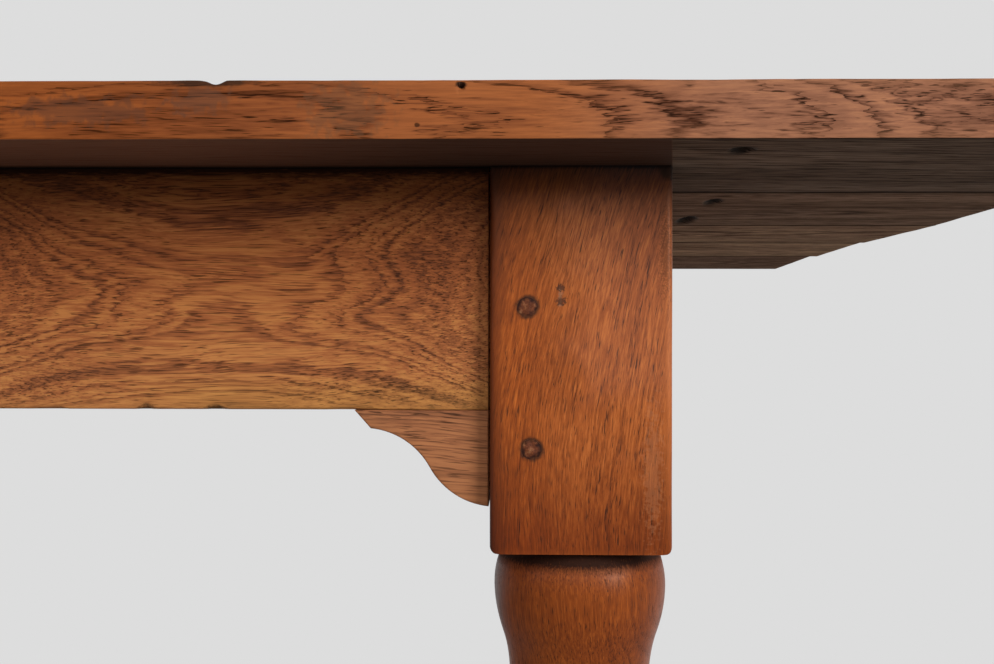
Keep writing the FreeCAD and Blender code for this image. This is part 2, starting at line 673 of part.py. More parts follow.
doc.recompute()
for thing in doc.Objects:
    if "Invalid" in thing.State or "Error" in thing.State:
        raise RuntimeError(f"{thing.Name} failed: {thing.State}")
    if thing.TypeId in ("PartDesign::Pocket", "PartDesign::Groove"):
        if thing.Shape.Volume >= thing.BaseFeature.Shape.Volume:
            raise RuntimeError(f"{thing.Name} cuts nothing")
for node in nodes:
    if node.Shape.isNull() or not node.Shape.isValid():
        raise RuntimeError(f"{node.Label} has no sound shape")
os.makedirs("parts", exist_ok=True)
for node in nodes:
    node.Shape.exportStep(f"parts/{node.Label}.step")
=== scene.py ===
from math import ceil, copysign, cos, radians, sin, sqrt, tan
import bmesh
import bpy
from mathutils import Euler, Matrix, Vector, noise


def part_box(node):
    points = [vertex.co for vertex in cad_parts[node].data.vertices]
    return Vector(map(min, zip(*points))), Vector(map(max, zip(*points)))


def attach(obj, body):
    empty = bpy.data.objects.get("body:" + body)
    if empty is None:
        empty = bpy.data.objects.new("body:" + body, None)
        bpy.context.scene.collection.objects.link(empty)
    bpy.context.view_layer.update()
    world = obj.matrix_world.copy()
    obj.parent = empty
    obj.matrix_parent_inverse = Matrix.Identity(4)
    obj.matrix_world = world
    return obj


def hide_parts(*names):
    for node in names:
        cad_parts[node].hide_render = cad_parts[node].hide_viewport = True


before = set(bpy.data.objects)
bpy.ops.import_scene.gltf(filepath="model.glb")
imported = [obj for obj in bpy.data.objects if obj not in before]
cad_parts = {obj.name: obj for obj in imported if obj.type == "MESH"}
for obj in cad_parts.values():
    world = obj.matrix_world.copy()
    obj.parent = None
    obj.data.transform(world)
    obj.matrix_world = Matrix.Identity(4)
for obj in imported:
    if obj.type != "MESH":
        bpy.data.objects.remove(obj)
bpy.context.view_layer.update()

# Legs: four posts of oak, 92 mm square where rails and stretchers are let in, and turned on a lathe
# between those blocks to a cushion, neck, belly, ankle and ring, with a bun foot below.
# Their arrises are worn round, and wax and dirt have filled the open grain.
MM = 0.001
# The axes' distance from the table's middle, half the blocks' width, and levels above the floor
LEG_X, LEG_Y = 913, 353
LEG_HALF = 46
LEG_TOP, HEAD_BLOCK, CUSHION, FOOT_BLOCK = 744, 548, 525, (60, 172)
# The rounding of the arrises, of the blocks' shoulders and of the corners that were knocked
LEG_ARRIS = 2.5
POMMEL_WIDTH, POMMEL_HEIGHT = 3, 4
KNOCK = 4
# How uneven the lathe and the plane left the wood, and the level and reach of hollows that hold dirt
LATHE_MARKS, PLANE_MARKS = 0.25, 0.15
DIRTY_HOLLOWS = ((187, 10), (57, 9))
# Height above the floor, radius, and whether the curve runs upright there
FOOT_TURNING = [(0, 33, False), (27, 45, True), (54, 33, True), (FOOT_BLOCK[0], 33, False)]
LEG_TURNING = [(FOOT_BLOCK[1], 41, False), (186, 34, True), (206, 42, True), (233, 30, True),
               (343, 46, True), (475, 37.7, True), (CUSHION, 46.2, True), (HEAD_BLOCK, 40, False)]
# Degrees from a corner at which a ring has its points, close together where the arris is round
CORNER_STEPS = (0, 0.5, 1, 1.6, 2.3, 3.2, 4.5, 6.5, 9.5, 14, 20, 27, 35, 45)
# Where the rings lie past a block's shoulder, and how far apart they are further on and in the turnings
SHOULDER_STEPS, PAST_SHOULDER = (0, 0.25, 0.6, 1.1, 1.7, 2.5, 3.5, 4.6, 6), 9
FOOT_STEP, HEAD_STEP, TURNED_STEP = 6, 4, 3
LEG_TONES = ("#b5652f", "#934b1f", "#632c0e", "#2a1006")


def linear(code):
    """An sRGB hex colour as the linear colour that a shader socket takes."""
    parts = [int(code[start:start + 2], 16) / 255 for start in (1, 3, 5)]
    return [part / 12.92 if part <= 0.04045 else ((part + 0.055) / 1.055) ** 2.4 for part in parts] + [1]


def add(tree, kind, inputs=None, out=0, stops=(), **settings):
    """Adds a node with its settings; an input is linked if it is given a socket, and set if not."""
    prefix = "" if kind.startswith(("Geometry", "Function")) else "ShaderNode"
    made = tree.nodes.new(prefix + kind)
    for name, setting in settings.items():
        setattr(made, name, setting)
    for key, given in (inputs or {}).items():
        if isinstance(given, bpy.types.NodeSocket):
            tree.links.new(given, made.inputs[key])
        else:
            made.inputs[key].default_value = given
    for number, (spot, colour) in enumerate(stops):
        elements = made.color_ramp.elements
        stop = elements[number] if number < len(elements) else elements.new(spot)
        stop.position, stop.color = spot, linear(colour)
    return made.outputs[out] if made.outputs else made


def cleared(owner):
    """The emptied node tree of a material or a world."""
    owner.use_nodes = True
    owner.node_tree.nodes.clear()
    return owner.node_tree


def patch(centre, reach, ragged=0.6, grain=9):
    """A soft-edged patch, 1 at its centre and 0 outside its reach, with a ragged outline."""
    def shape(tree, mm):
        off = add(tree, "VectorMath", {0: mm, 1: centre}, operation="SUBTRACT")
        share = add(tree, "VectorMath", {0: off, 1: reach}, operation="DIVIDE")
        far = add(tree, "VectorMath", {0: share}, out="Value", operation="LENGTH")
        rough = add(tree, "TexNoise", {"Vector": mm, "Scale": 1 / grain, "Detail": 3})
        edge = add(tree, "Math", {0: rough, 1: ragged * 2, 2: -ragged}, operation="MULTIPLY_ADD")
        total = add(tree, "Math", {0: far, 1: edge}, operation="ADD")
        return add(tree, "MapRange", {0: total, 1: 1.0, 2: 0.45, 3: 0.0, 4: 1.0},
                   interpolation_type="SMOOTHSTEP")
    return shape


def ramp(axis, start, end):
    """A tint that grows evenly along an axis, from 0 at its start to 1 at its end."""
    def shape(tree, mm):
        along = add(tree, "SeparateXYZ", {0: mm}, out=axis)
        return add(tree, "MapRange", {0: along, 1: start, 2: end, 3: 0.0, 4: 1.0},
                   interpolation_type="SMOOTHSTEP")
    return shape


def both(one, other):
    """A tint that shows only where two others do."""
    def shape(tree, mm):
        return add(tree, "Math", {0: one(tree, mm), 1: other(tree, mm)}, operation="MULTIPLY")
    return shape


# Lengths along the grain and both ways across it: how slowly the rings wander, how ragged their edges are,
# and how large the clouds of deeper colour are
WANDER, RAGGED, CLOUDS = (170, 45, 45), (17, 1.5, 1.5), (110, 36, 36)


def drawn_out(tree, at, lengths, detail, roughness=0.5, out=0):
    """Noise drawn out to lengths in millimetres, along the grain and both ways across it."""
    spot = add(tree, "VectorMath", {0: at, 1: [1 / length for length in lengths]}, operation="MULTIPLY")
    return add(tree, "TexNoise", {"Vector": spot, "Scale": 1.0, "Detail": detail, "Roughness": roughness},
               out=out)


def oak(name, grain, heart, tones, ring=3.0, crook=((0, 200, 0), (0, 200, 0)), lean=(0, 0, 0), sway=6,
        pore=(15, 0.75, 0.62, 0.13, 0.8), fleck=(60, 1.8, 1.1), sheen=(0.42, 0.2), figure=0.5, wear=0.45,
        rubbed=None, layers=()):
    """Old waxed oak: rings about the heart of its log, dark open pores in the early wood of each ring,
    streaks along the grain, pale worn arrises, dark dirt in the corners and painted shade under what
    overhangs, all placed in millimetres.

    Tones run from pale late wood by late and early wood to the dirt in the pores. A crook is how far the
    log bends, over what length and from where, across it both ways. A pore has a length, a width, a rarity,
    how much it crowds into early wood and how dark it is; a fleck, the mottle between pores, has a length,
    a width and a strength; a sheen is a roughness and a specular level."""
    pore_length, pore_width, rarity, crowding, darkness = pore
    fleck_length, fleck_width, mottle = fleck
    material = bpy.data.materials.new(name)
    tree = cleared(material)
    at = add(tree, "TexCoord", out="Object")
    mm = add(tree, "VectorMath", {0: at, "Scale": 1 / MM}, operation="SCALE")

    # Along the log: x runs with the grain, y and z lie across it, measured from the heart
    turned = {"X": (0, 0, 0), "Y": (0, 0, -90), "Z": (0, 90, 0)}[grain]
    leaning, lying = (Euler([radians(a) for a in angles]).to_matrix() for angles in (lean, turned))
    turn = leaning @ lying
    log = add(tree, "Mapping", {"Vector": mm, "Location": -(turn @ Vector(heart)),
                                "Rotation": turn.to_euler()})
    run = add(tree, "SeparateXYZ", {0: log}, out=0)
    bends = []
    for reach, wave, middle in crook:
        angle = add(tree, "Math", {0: run, 1: 1 / wave, 2: -middle / wave}, operation="MULTIPLY_ADD")
        swing = add(tree, "Math", {0: angle}, operation="COSINE")
        bends.append(add(tree, "Math", {0: swing, 1: reach}, operation="MULTIPLY"))
    bend = add(tree, "CombineXYZ", {1: bends[0], 2: bends[1]})
    bent = add(tree, "VectorMath", {0: log, 1: bend}, operation="ADD")
    slow = drawn_out(tree, log, WANDER, detail=2, out="Color")
    wander = add(tree, "VectorMath", {0: slow, 1: (0, 2 * sway, 2 * sway), 2: (0, -sway, -sway)},
                 operation="MULTIPLY_ADD")
    wood = add(tree, "VectorMath", {0: bent, 1: wander}, operation="ADD")

    # Rings: early wood, open and dark, at the start of each year and dense late wood after it
    jag = drawn_out(tree, wood, RAGGED, detail=2)
    across = add(tree, "VectorMath", {0: wood, 1: (0, 1 / ring, 1 / ring)}, operation="MULTIPLY")
    radius = add(tree, "VectorMath", {0: across}, out="Value", operation="LENGTH")
    season = add(tree, "TexNoise", {"W": radius, "Scale": 0.4, "Detail": 1.0}, noise_dimensions="1D")
    growth = add(tree, "Math", {0: season, 1: 3.0, 2: radius}, operation="MULTIPLY_ADD")
    years = add(tree, "Math", {0: jag, 1: 1.2, 2: growth}, operation="MULTIPLY_ADD")
    year = add(tree, "Math", {0: years}, operation="FRACT")
    open_wood = add(tree, "ValToRGB", {0: year}, stops=[
        (0.0, "#ffffff"), (0.24, "#c8c8c8"), (0.5, "#2a2a2a"), (0.76, "#000000"), (1.0, "#ffffff")])
    which = add(tree, "Math", {0: years}, operation="FLOOR")
    weather = add(tree, "TexNoise", {"W": which, "Scale": 0.73, "Detail": 0.0}, noise_dimensions="1D")
    wet = add(tree, "MapRange", {0: weather, 1: 0.3, 2: 0.65, 3: 0.3, 4: 1.0})
    early = add(tree, "Math", {0: open_wood, 1: wet}, operation="MULTIPLY")

    # Pores: dashes along the grain, drawn about twice as wide as real ones so that they show
    dash = drawn_out(tree, wood, (pore_length, pore_width, pore_width), detail=1, roughness=0.4)
    least = add(tree, "Math", {0: early, 1: -crowding, 2: rarity}, operation="MULTIPLY_ADD")
    most = add(tree, "Math", {0: least, 1: 0.1}, operation="ADD")
    pores = add(tree, "MapRange", {0: dash, 1: least, 2: most})
    streak = drawn_out(tree, wood, (fleck_length, fleck_width, fleck_width), detail=4, roughness=0.65)

    # Colour: from pale late wood to dark early wood, deeper or paler over a hand's breadth
    cloud = drawn_out(tree, wood, CLOUDS, detail=3)
    shade = add(tree, "Math", {0: early, 1: figure, 2: -0.3 * figure - mottle / 2}, operation="MULTIPLY_ADD")
    deeper = add(tree, "Math", {0: streak, 1: mottle, 2: shade}, operation="MULTIPLY_ADD")
    depth = add(tree, "Math", {0: cloud, 1: 0.9, 2: deeper}, operation="MULTIPLY_ADD")
    colour = add(tree, "ValToRGB", {0: depth}, stops=[(0.1, tones[0]), (0.45, tones[1]), (0.95, tones[2])])
    stain = add(tree, "Math", {0: pores, 1: darkness}, operation="MULTIPLY")
    colour = add(tree, "Mix", {0: stain, 6: colour, 7: linear(tones[3])}, out=2, data_type="RGBA")

    # Wear on the arrises, then dark dirt where a cloth does not reach,
    # with painted shade under the top and under the legs' head blocks
    for trace, code, strength in (("worn", rubbed or tones[0], wear), ("grime_and_shade", tones[3], 1.2)):
        near = add(tree, "Attribute", out="Fac", attribute_name=trace)
        uneven = add(tree, "Math", {0: streak, 1: 1.6 * strength, 2: 0.2 * strength},
                     operation="MULTIPLY_ADD")
        share = add(tree, "Math", {0: near, 1: uneven}, operation="MULTIPLY", use_clamp=True)
        colour = add(tree, "Mix", {0: share, 6: colour, 7: linear(code)}, out=2, data_type="RGBA")
    dirt_and_shade_share = share
    for shape, code, strength, blend in layers:
        share = add(tree, "Math", {0: shape(tree, mm), 1: strength}, operation="MULTIPLY")
        colour = add(tree, "Mix", {0: share, 6: colour, 7: linear(code)}, out=2, data_type="RGBA",
                     blend_type=blend)

    dull = add(tree, "Math", {0: pores, 1: 0.25, 2: sheen[0] - 0.08}, operation="MULTIPLY_ADD")
    waxy = add(tree, "Math", {0: cloud, 1: 0.16, 2: dull}, operation="MULTIPLY_ADD")
    rough = add(tree, "Math", {0: dirt_and_shade_share, 1: 0.45, 2: waxy}, operation="MULTIPLY_ADD", use_clamp=True)
    rise = add(tree, "Math", {0: pores, 1: -1.0, 2: streak}, operation="MULTIPLY_ADD")
    bump = add(tree, "Bump", {"Strength": 0.5, "Distance": 0.12 * MM, "Height": rise})
    surface = add(tree, "BsdfPrincipled", {
        "Base Color": colour, "Roughness": rough, "IOR": 1.5, "Specular IOR Level": sheen[1],
        "Specular Tint": linear("#ffe6d2"), "Normal": bump})
    add(tree, "OutputMaterial", {"Surface": surface})
    return material


def loft(name, shells, traces):
    """Closed skins through rings of equally many points in millimetres, each end closed by one face.

    traces holds a number at every point, in order, for each named mark of wear, dirt and painted shade."""
    points, faces = [], []
    for rings in shells:
        count = len(rings[0])
        for number, ring in enumerate(rings):
            first = len(points)
            points += [Vector(point) * MM for point in ring]
            if number:
                below = first - count
                faces += [(below + i, below + (i + 1) % count, first + (i + 1) % count, first + i)
                          for i in range(count)]
            if number in (0, len(rings) - 1):
                faces.append(tuple(range(first, first + count)))
    mesh = bpy.data.meshes.new(name)
    mesh.from_pydata(points, [], faces)
    skin = bmesh.new()
    skin.from_mesh(mesh)
    bmesh.ops.recalc_face_normals(skin, faces=skin.faces)
    skin.to_mesh(mesh)
    skin.free()
    for trace, amounts in traces.items():
        mesh.attributes.new(trace, "FLOAT", "POINT").data.foreach_set("value", amounts)
    mesh.shade_smooth()
    mesh.set_sharp_from_angle(angle=radians(40))
    for face in mesh.polygons:
        face.use_smooth = len(face.vertices) == 4
    return mesh


def shown(name, data):
    """A new object in the scene, at the origin."""
    thing = bpy.data.objects.new(name, data)
    bpy.context.scene.collection.objects.link(thing)
    return thing


def seat(mesh, materials, node):
    """Puts a finished mesh into the table, under its own name, in place of its CAD node."""
    piece = shown(mesh.name, mesh)
    for material in materials:
        mesh.materials.append(material)
    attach(piece, "root")
    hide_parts(node)


def steps(low, high, most):
    """Even places from low to high, no further apart than most."""
    count = max(1, ceil((high - low) / most))
    return [low + (high - low) * number / count for number in range(count + 1)]


def turned_radius(turning, height):
    """The radius of a turning made of arcs that run upright where its points say so."""
    for (low, inner, upright), (high, outer, other_upright) in zip(turning, turning[1:]):
        if low <= height <= high:
            across, up = outer - inner, high - low
            if across == 0:
                return inner
            arc = (across ** 2 + up ** 2) / ((4 if upright and other_upright else 2) * abs(across))
            from_low = upright and (not other_upright or height < (low + high) / 2)
            reach = height - low if from_low else high - height
            bulge = copysign(arc - sqrt(max(0, arc ** 2 - reach ** 2)), across)
            return inner + bulge if from_low else outer - bulge


def square_radius(off_corner, arris):
    """How far a square post reaches at an angle off its corner, where the arris is round."""
    corner = LEG_HALF - arris
    angle = radians(45 - abs(off_corner))
    if LEG_HALF * tan(angle) <= corner:
        return LEG_HALF / cos(angle)
    along = corner * (cos(angle) + sin(angle))
    return along + sqrt(along ** 2 - 2 * corner ** 2 + arris ** 2)


def fade(distance, reach):
    """1 at no distance, falling smoothly to 0 at a reach."""
    share = min(1, abs(distance) / reach)
    return (1 - share) ** 2 * (1 + 2 * share)


def leg_mesh(name, axis, aside):
    """A post lofted from the floor up, square in its blocks and round, a little aside, where it is turned."""
    offsets = [-step for step in reversed(CORNER_STEPS[1:-1])] + list(CORNER_STEPS)
    angles = [(corner, off) for corner in range(4) for off in offsets]
    low, high = FOOT_BLOCK
    foot = [low + step for step in SHOULDER_STEPS]
    foot += steps(low + PAST_SHOULDER, high - PAST_SHOULDER, FOOT_STEP)
    foot += [high - step for step in reversed(SHOULDER_STEPS)]
    head = [HEAD_BLOCK + step for step in SHOULDER_STEPS]
    head += steps(HEAD_BLOCK + PAST_SHOULDER, LEG_TOP - 2, HEAD_STEP) + [LEG_TOP - 0.5, LEG_TOP]
    heights = [(z, FOOT_TURNING) for z in steps(0, low, TURNED_STEP)] + [(z, None) for z in foot]
    heights += [(z, LEG_TURNING) for z in steps(high, HEAD_BLOCK, TURNED_STEP)] + [(z, None) for z in head]
    rings, worn, grime_and_shade = [], [], []
    for z, turning in heights:
        ring = []
        for corner, off in angles:
            angle = radians(45 + 90 * corner + off)
            way = Vector((cos(angle), sin(angle), 0))
            spot = Vector((axis[0] / 9 + way.x * 1.3, axis[1] / 9 + way.y * 1.3, z / 45))
            if turning:
                radius = turned_radius(turning, z) + LATHE_MARKS * noise.noise(spot)
                mark = 0.25 * fade(z - CUSHION, 14)
            else:
                rub = noise.noise(Vector((corner * 7.1 + axis[0], axis[1], z / 38)))
                arris = LEG_ARRIS * (1.15 + 0.55 * rub)
                radius = square_radius(off, arris) + PLANE_MARKS * noise.noise(spot)
                ends = min(z - low, high - z) if z < HEAD_BLOCK else z - HEAD_BLOCK
                short = max(0, 1 - ends / POMMEL_HEIGHT)
                cut = POMMEL_WIDTH * (1 - sqrt(1 - short ** 2))
                radius = min(radius, LEG_HALF * sqrt(2) - cut) - 0.5 * (z == LEG_TOP)
                mark = max(fade(off, 5), 0.6 * fade(ends, 4))
            middle = axis[0] + (aside if turning else 0)
            across = radius * way.x
            if aside and not turning and 0 <= ends < KNOCK:
                most = LEG_HALF - KNOCK + sqrt(KNOCK ** 2 - (KNOCK - ends) ** 2)
                across = max(-most, min(most, across))
            ring.append((middle + across, axis[1] + radius * way.y, z))
            worn.append(mark)
            # Dark dirt in the turnings' hollows and at the foot; a line of painted shadow under the top with
            # painted shade below it, and painted shadow on the cushion under the head block
            soiled_and_shaded = [fade(z - level, reach) for level, reach in DIRTY_HOLLOWS]
            soiled_and_shaded += [fade(z - LEG_TOP, 4), 0.5 * fade(z - LEG_TOP, 12), 0.5 * fade(z, 8)]
            if turning:
                soiled_and_shaded.append(fade(min(0, z - HEAD_BLOCK + 5), 7))
            grime_and_shade.append(max(soiled_and_shaded))
        rings.append(ring)
    return loft(name, [rings], {"worn": worn, "grime_and_shade": grime_and_shade})


def rim(across, centre, radius):
    """A dark ring round a peg that was driven into a face, where dirt gathers."""
    def shape(tree, mm):
        off = add(tree, "VectorMath", {0: mm, 1: centre}, operation="SUBTRACT")
        flat = add(tree, "VectorMath", {0: off, 1: across}, operation="MULTIPLY")
        far = add(tree, "VectorMath", {0: flat}, out="Value", operation="LENGTH")
        uneven = add(tree, "TexNoise", {"Vector": mm, "Scale": 0.35, "Detail": 2.0})
        reach = add(tree, "Math", {0: uneven, 1: -2.4, 2: far}, operation="MULTIPLY_ADD")
        return add(tree, "MapRange", {0: reach, 1: radius + 0.4, 2: radius - 1.1, 3: 0.0, 4: 1.0})
    return shape


PEG_RADIUS, PEG_RIM = 5.3, "#2a150c"
# How far a peg stands from the leg's inner face, and its level
RAIL_PEG, BRACKET_PEG, STRETCHER_PEG = (18.8, 672.7), (21, 601), (22, 116)
# The leg in the photo was turned a little off the middle of its post
SEEN_LEG, OFF_CENTRE = "front_right", 1.7
LEG_FRONT = -LEG_Y - LEG_HALF
leg_hearts = {"front_right": (-150, 60), "front_left": (120, -50), "back_right": (55, 130),
              "back_left": (-98, -72)}
for corner, heart in leg_hearts.items():
    node = f"leg_{corner}"
    low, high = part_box(node)
    axis = ((low.x + high.x) / 2 / MM, (low.y + high.y) / 2 / MM)
    x_out, y_out = copysign(1, axis[0]), copysign(1, axis[1])
    aside = OFF_CENTRE if corner == SEEN_LEG else 0
    # The head block darker towards its foot and the turning a little darker all over; painted shade from the
    # top's overhang on the block's head
    layers = [(both(ramp(2, 620, 540), ramp(2, 546, 549)), "#b99d77", 1.0, "MULTIPLY"),
              (ramp(2, 549, 546), "#d3c29c", 1.0, "MULTIPLY"),
              (ramp(2, 712, LEG_TOP), "#8d857f", 0.8, "MULTIPLY")]
    for inset, level in (RAIL_PEG, BRACKET_PEG, STRETCHER_PEG):
        in_front = (axis[0] - x_out * (LEG_HALF - inset), axis[1] + y_out * LEG_HALF, level)
        on_end = (axis[0] + x_out * LEG_HALF, axis[1] - y_out * (LEG_HALF - inset), level)
        if level > HEAD_BLOCK:
            layers.append((rim((1, 0.2, 1), in_front, PEG_RADIUS), PEG_RIM, 0.85, "MIX"))
        layers.append((rim((0.2, 1, 1), on_end, PEG_RADIUS), PEG_RIM, 0.85, "MIX"))
    # On the leg before the camera: a bruise with two dark nicks, a paler strip by the right arris, a painted
    # grey sheen, painted shadow in the top right corner and dark streaks by the arris, on a face that is
    # warmer towards the rail, with painted shade along the arris beside it
    if corner == SEEN_LEG:
        layers += [(patch((902.4, LEG_FRONT, 678), (1.6, 30, 5.5), 1.2, 2), "#7d6555", 0.5, "MIX"),
                   (patch((902.6, LEG_FRONT, 682.3), (2.8, 30, 2.4), 1.3, 1.4), "#2c1812", 0.75, "MIX"),
                   (patch((902.8, LEG_FRONT, 675.6), (3.2, 30, 2.6), 1.3, 1.4), "#2c1812", 0.75, "MIX"),
                   (patch((949, LEG_FRONT, 590), (6, 30, 38), 1.3, 1.6), "#a9704c", 0.25, "MIX"),
                   (patch((948, LEG_FRONT, 690), (52, 90, 105), 0.5, 30), "#171f23", 0.8, "ADD"),
                   (patch((958, LEG_FRONT, 744), (9, 30, 9), 0.4, 4), "#1a0d07", 0.85, "MIX"),
                   (patch((955.5, LEG_FRONT, 700), (3.5, 30, 22), 1.9, 1.0), "#3a1a0c", 0.4, "MIX"),
                   (ramp(0, 908, 880), "#f9efd4", 1.0, "MULTIPLY"),
                   (ramp(0, 878, 867), "#8a6746", 0.85, "MULTIPLY")]
    # Turned and waxed oak: a soft sheen on the swells, and short dark pores in a warm, even ground
    log_heart = (axis[0] + heart[0], axis[1] + heart[1], 400)
    finish = oak(f"turned_waxed_oak_{corner}", "Z", log_heart, LEG_TONES, ring=2.7,
                 crook=((5, 110, 300), (24, 105, 527)), lean=(0, -4, 0), sway=6,
                 pore=(7, 0.4, 0.64, 0.1, 0.8), fleck=(10, 0.8, 1.7), sheen=(0.37, 0.23), figure=0.2,
                 layers=layers)
    seat(leg_mesh(f"turned_{node}", axis, aside), [finish], node)

# Rails: boards of oak on edge, 124 by 26 mm, sawn flat from the log so that the faces show long flames.
# They are tenoned into the leg blocks, set back 10 mm from the legs' faces, and pegged from outside.
RAIL_TONES = ("#b77944", "#985a33", "#5a3421", "#2b1409")
# Middle lines and outer faces, the lower edge, half the thickness and height, and the same of the tenons
# after their length
RAIL_X, RAIL_Y = 936, 376
RAIL_FRONT, RAIL_END = 389, 949
RAIL_BOTTOM = 620
RAIL_HALF = (13, 62.2)
RAIL_TENON, RAIL_TENON_HALF = 32, (6, 61.5)
SHOULDER_GAP = 0.9
RAIL_ARRISES = (0.5, 0.5, 1.0, 1.0)
# How far from an arris the first points of a flat lie
NEAR_ARRIS = (1.2, 3.2, 7)
# The way a bar's own directions lie along the table and across it
ALONG_X, ALONG_Y = Matrix.Identity(3), Matrix.Rotation(radians(90), 3, "Z")


def bar(stations, half, arrises, step, wobble, place, seed=0, groove=None, dents=(), dirt=None):
    """Rings of a squared bar whose arrises are rounded unevenly by wear, with its marks and painted shade.

    A station is a place along the bar and how far the end's rounding draws the bar in there. Half its width
    and height come next, and the arrises' radii from the left top round by the right top. A groove has a
    depth, half a height, an end and the sides it is in. Dents are centre, reach and push, in the table's own
    millimetres, and dirt tells how much darkening lies at a spot: dirt in the joints of the boards,
    painted shade along the tops of the rails."""
    half_width, half_height = half
    sides = ((1, 1), (-1, 1), (-1, -1), (1, -1))
    nominal = (2 * half_width, 2 * half_height, 2 * half_width, 2 * half_height)
    rings, worn, grime_and_shade = [], [], []
    for s, drawn_in in stations:
        ring = []
        wide, tall = half_width - drawn_in, half_height - drawn_in
        arcs = []
        for corner, (u_side, v_side) in enumerate(sides):
            # Wear that comes and goes over a hand's breadth, with small knocks on it
            rub = noise.noise(Vector((s / 42 + seed, corner * 5.3, seed * 1.7)))
            rub += 0.5 * noise.noise(Vector((s / 9, corner * 3.1 + seed, 2.2)))
            arris = max(0.15, arrises[corner] * (1 + 0.75 * rub))
            middle = (u_side * (wide - arris), v_side * (tall - arris))
            turns = [radians(90 * corner + 22.5 * part) for part in range(5)]
            arcs.append([(middle[0] + arris * cos(a), middle[1] + arris * sin(a)) for a in turns])
        for corner, arc in enumerate(arcs):
            end, start = arc[-1], arcs[(corner + 1) % 4][0]
            length = nominal[corner]
            edge_steps = [far for far in NEAR_ARRIS if far < length / 2 - 1]
            inner = steps(NEAR_ARRIS[-1], length - NEAR_ARRIS[-1], step)[1:-1] if length > 16 else []
            shares = [far / length for far in edge_steps] + [far / length for far in inner]
            shares += [1 - far / length for far in reversed(edge_steps)]
            flats = [(end[0] + (start[0] - end[0]) * share, end[1] + (start[1] - end[1]) * share)
                     for share in shares]
            rubs = [fade(min(share, 1 - share) * length, 7) * 0.6 for share in shares]
            if groove and corner in groove["sides"]:
                depth = groove["depth"] if abs(s) < groove["end"] else 0.02
                sunk = end[0] - copysign(depth, end[0])
                lip = copysign(groove["half"], end[1])
                kept = [(flat, rub) for flat, rub, share in zip(flats, rubs, shares)
                        if abs(0.5 - share) * length > groove["half"] + 1]
                halfway = len(kept) // 2
                kept[halfway:halfway] = [((u, v), 0) for u, v in (
                    (end[0], lip), (sunk, lip), (sunk, -lip), (end[0], -lip))]
                flats, rubs = zip(*kept)
            outward = ((0, 1), (-1, 0), (0, -1), (1, 0))[corner]
            for (u, v), mark, flat in [(point, 0.9, False) for point in arc] + [
                    (point, mark, True) for point, mark in zip(flats, rubs)]:
                lift = wobble * noise.noise(Vector((s / 60 + seed * 3.3, u / 30, v / 30))) * flat
                spot = Vector(place(s, u + lift * outward[0], v + lift * outward[1]))
                for centre, reach, push in dents:
                    near = sum(((a - c) / r) ** 2 for a, c, r in zip(spot, centre, reach))
                    if near < 1:
                        spot += Vector(push) * (1 - near) ** 2
                soiled_and_shaded = dirt(spot) if dirt and not drawn_in else 0
                ring.append(spot)
                worn.append(mark * (1 - soiled_and_shaded))
                grime_and_shade.append(soiled_and_shaded)
        rings.append(ring)
    return rings, worn, grime_and_shade


def bar_stations(half_length, most, rounding, fine=()):
    """Places along a bar with its ends rounded, closer together in the fine stretches."""
    places = set(steps(-half_length + rounding, half_length - rounding, most))
    for low, high, gap in fine:
        places |= set(steps(low, high, gap))
    places = sorted(places)
    kept = [places[0]] + [b for a, b in zip(places, places[1:]) if b - a > 0.2]
    curve = [(rounding * (1 - sin(radians(turn))), rounding * (1 - cos(radians(turn))))
             for turn in (30, 60, 90)]
    ends = [(half_length - short, drawn_in) for short, drawn_in in curve] + [(half_length, rounding + 0.6)]
    return [(-s, drawn_in) for s, drawn_in in reversed(ends)] + [(s, 0) for s in kept] + ends


def squared(name, bars):
    """One mesh of squared bars, each with its marks of use and any painted shade."""
    rings, worn, grime_and_shade = zip(*bars)
    return loft(name, rings, {"worn": sum(worn, []), "grime_and_shade": sum(grime_and_shade, [])})


def laid(node, turn, lift=0):
    """The middle of a CAD node's box, and how a bar's own directions lie in the table."""
    low, high = (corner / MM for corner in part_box(node))
    middle = (low + high) / 2 + Vector((0, 0, lift))
    return middle, lambda s, u, v: middle + turn @ Vector((s, u, v))


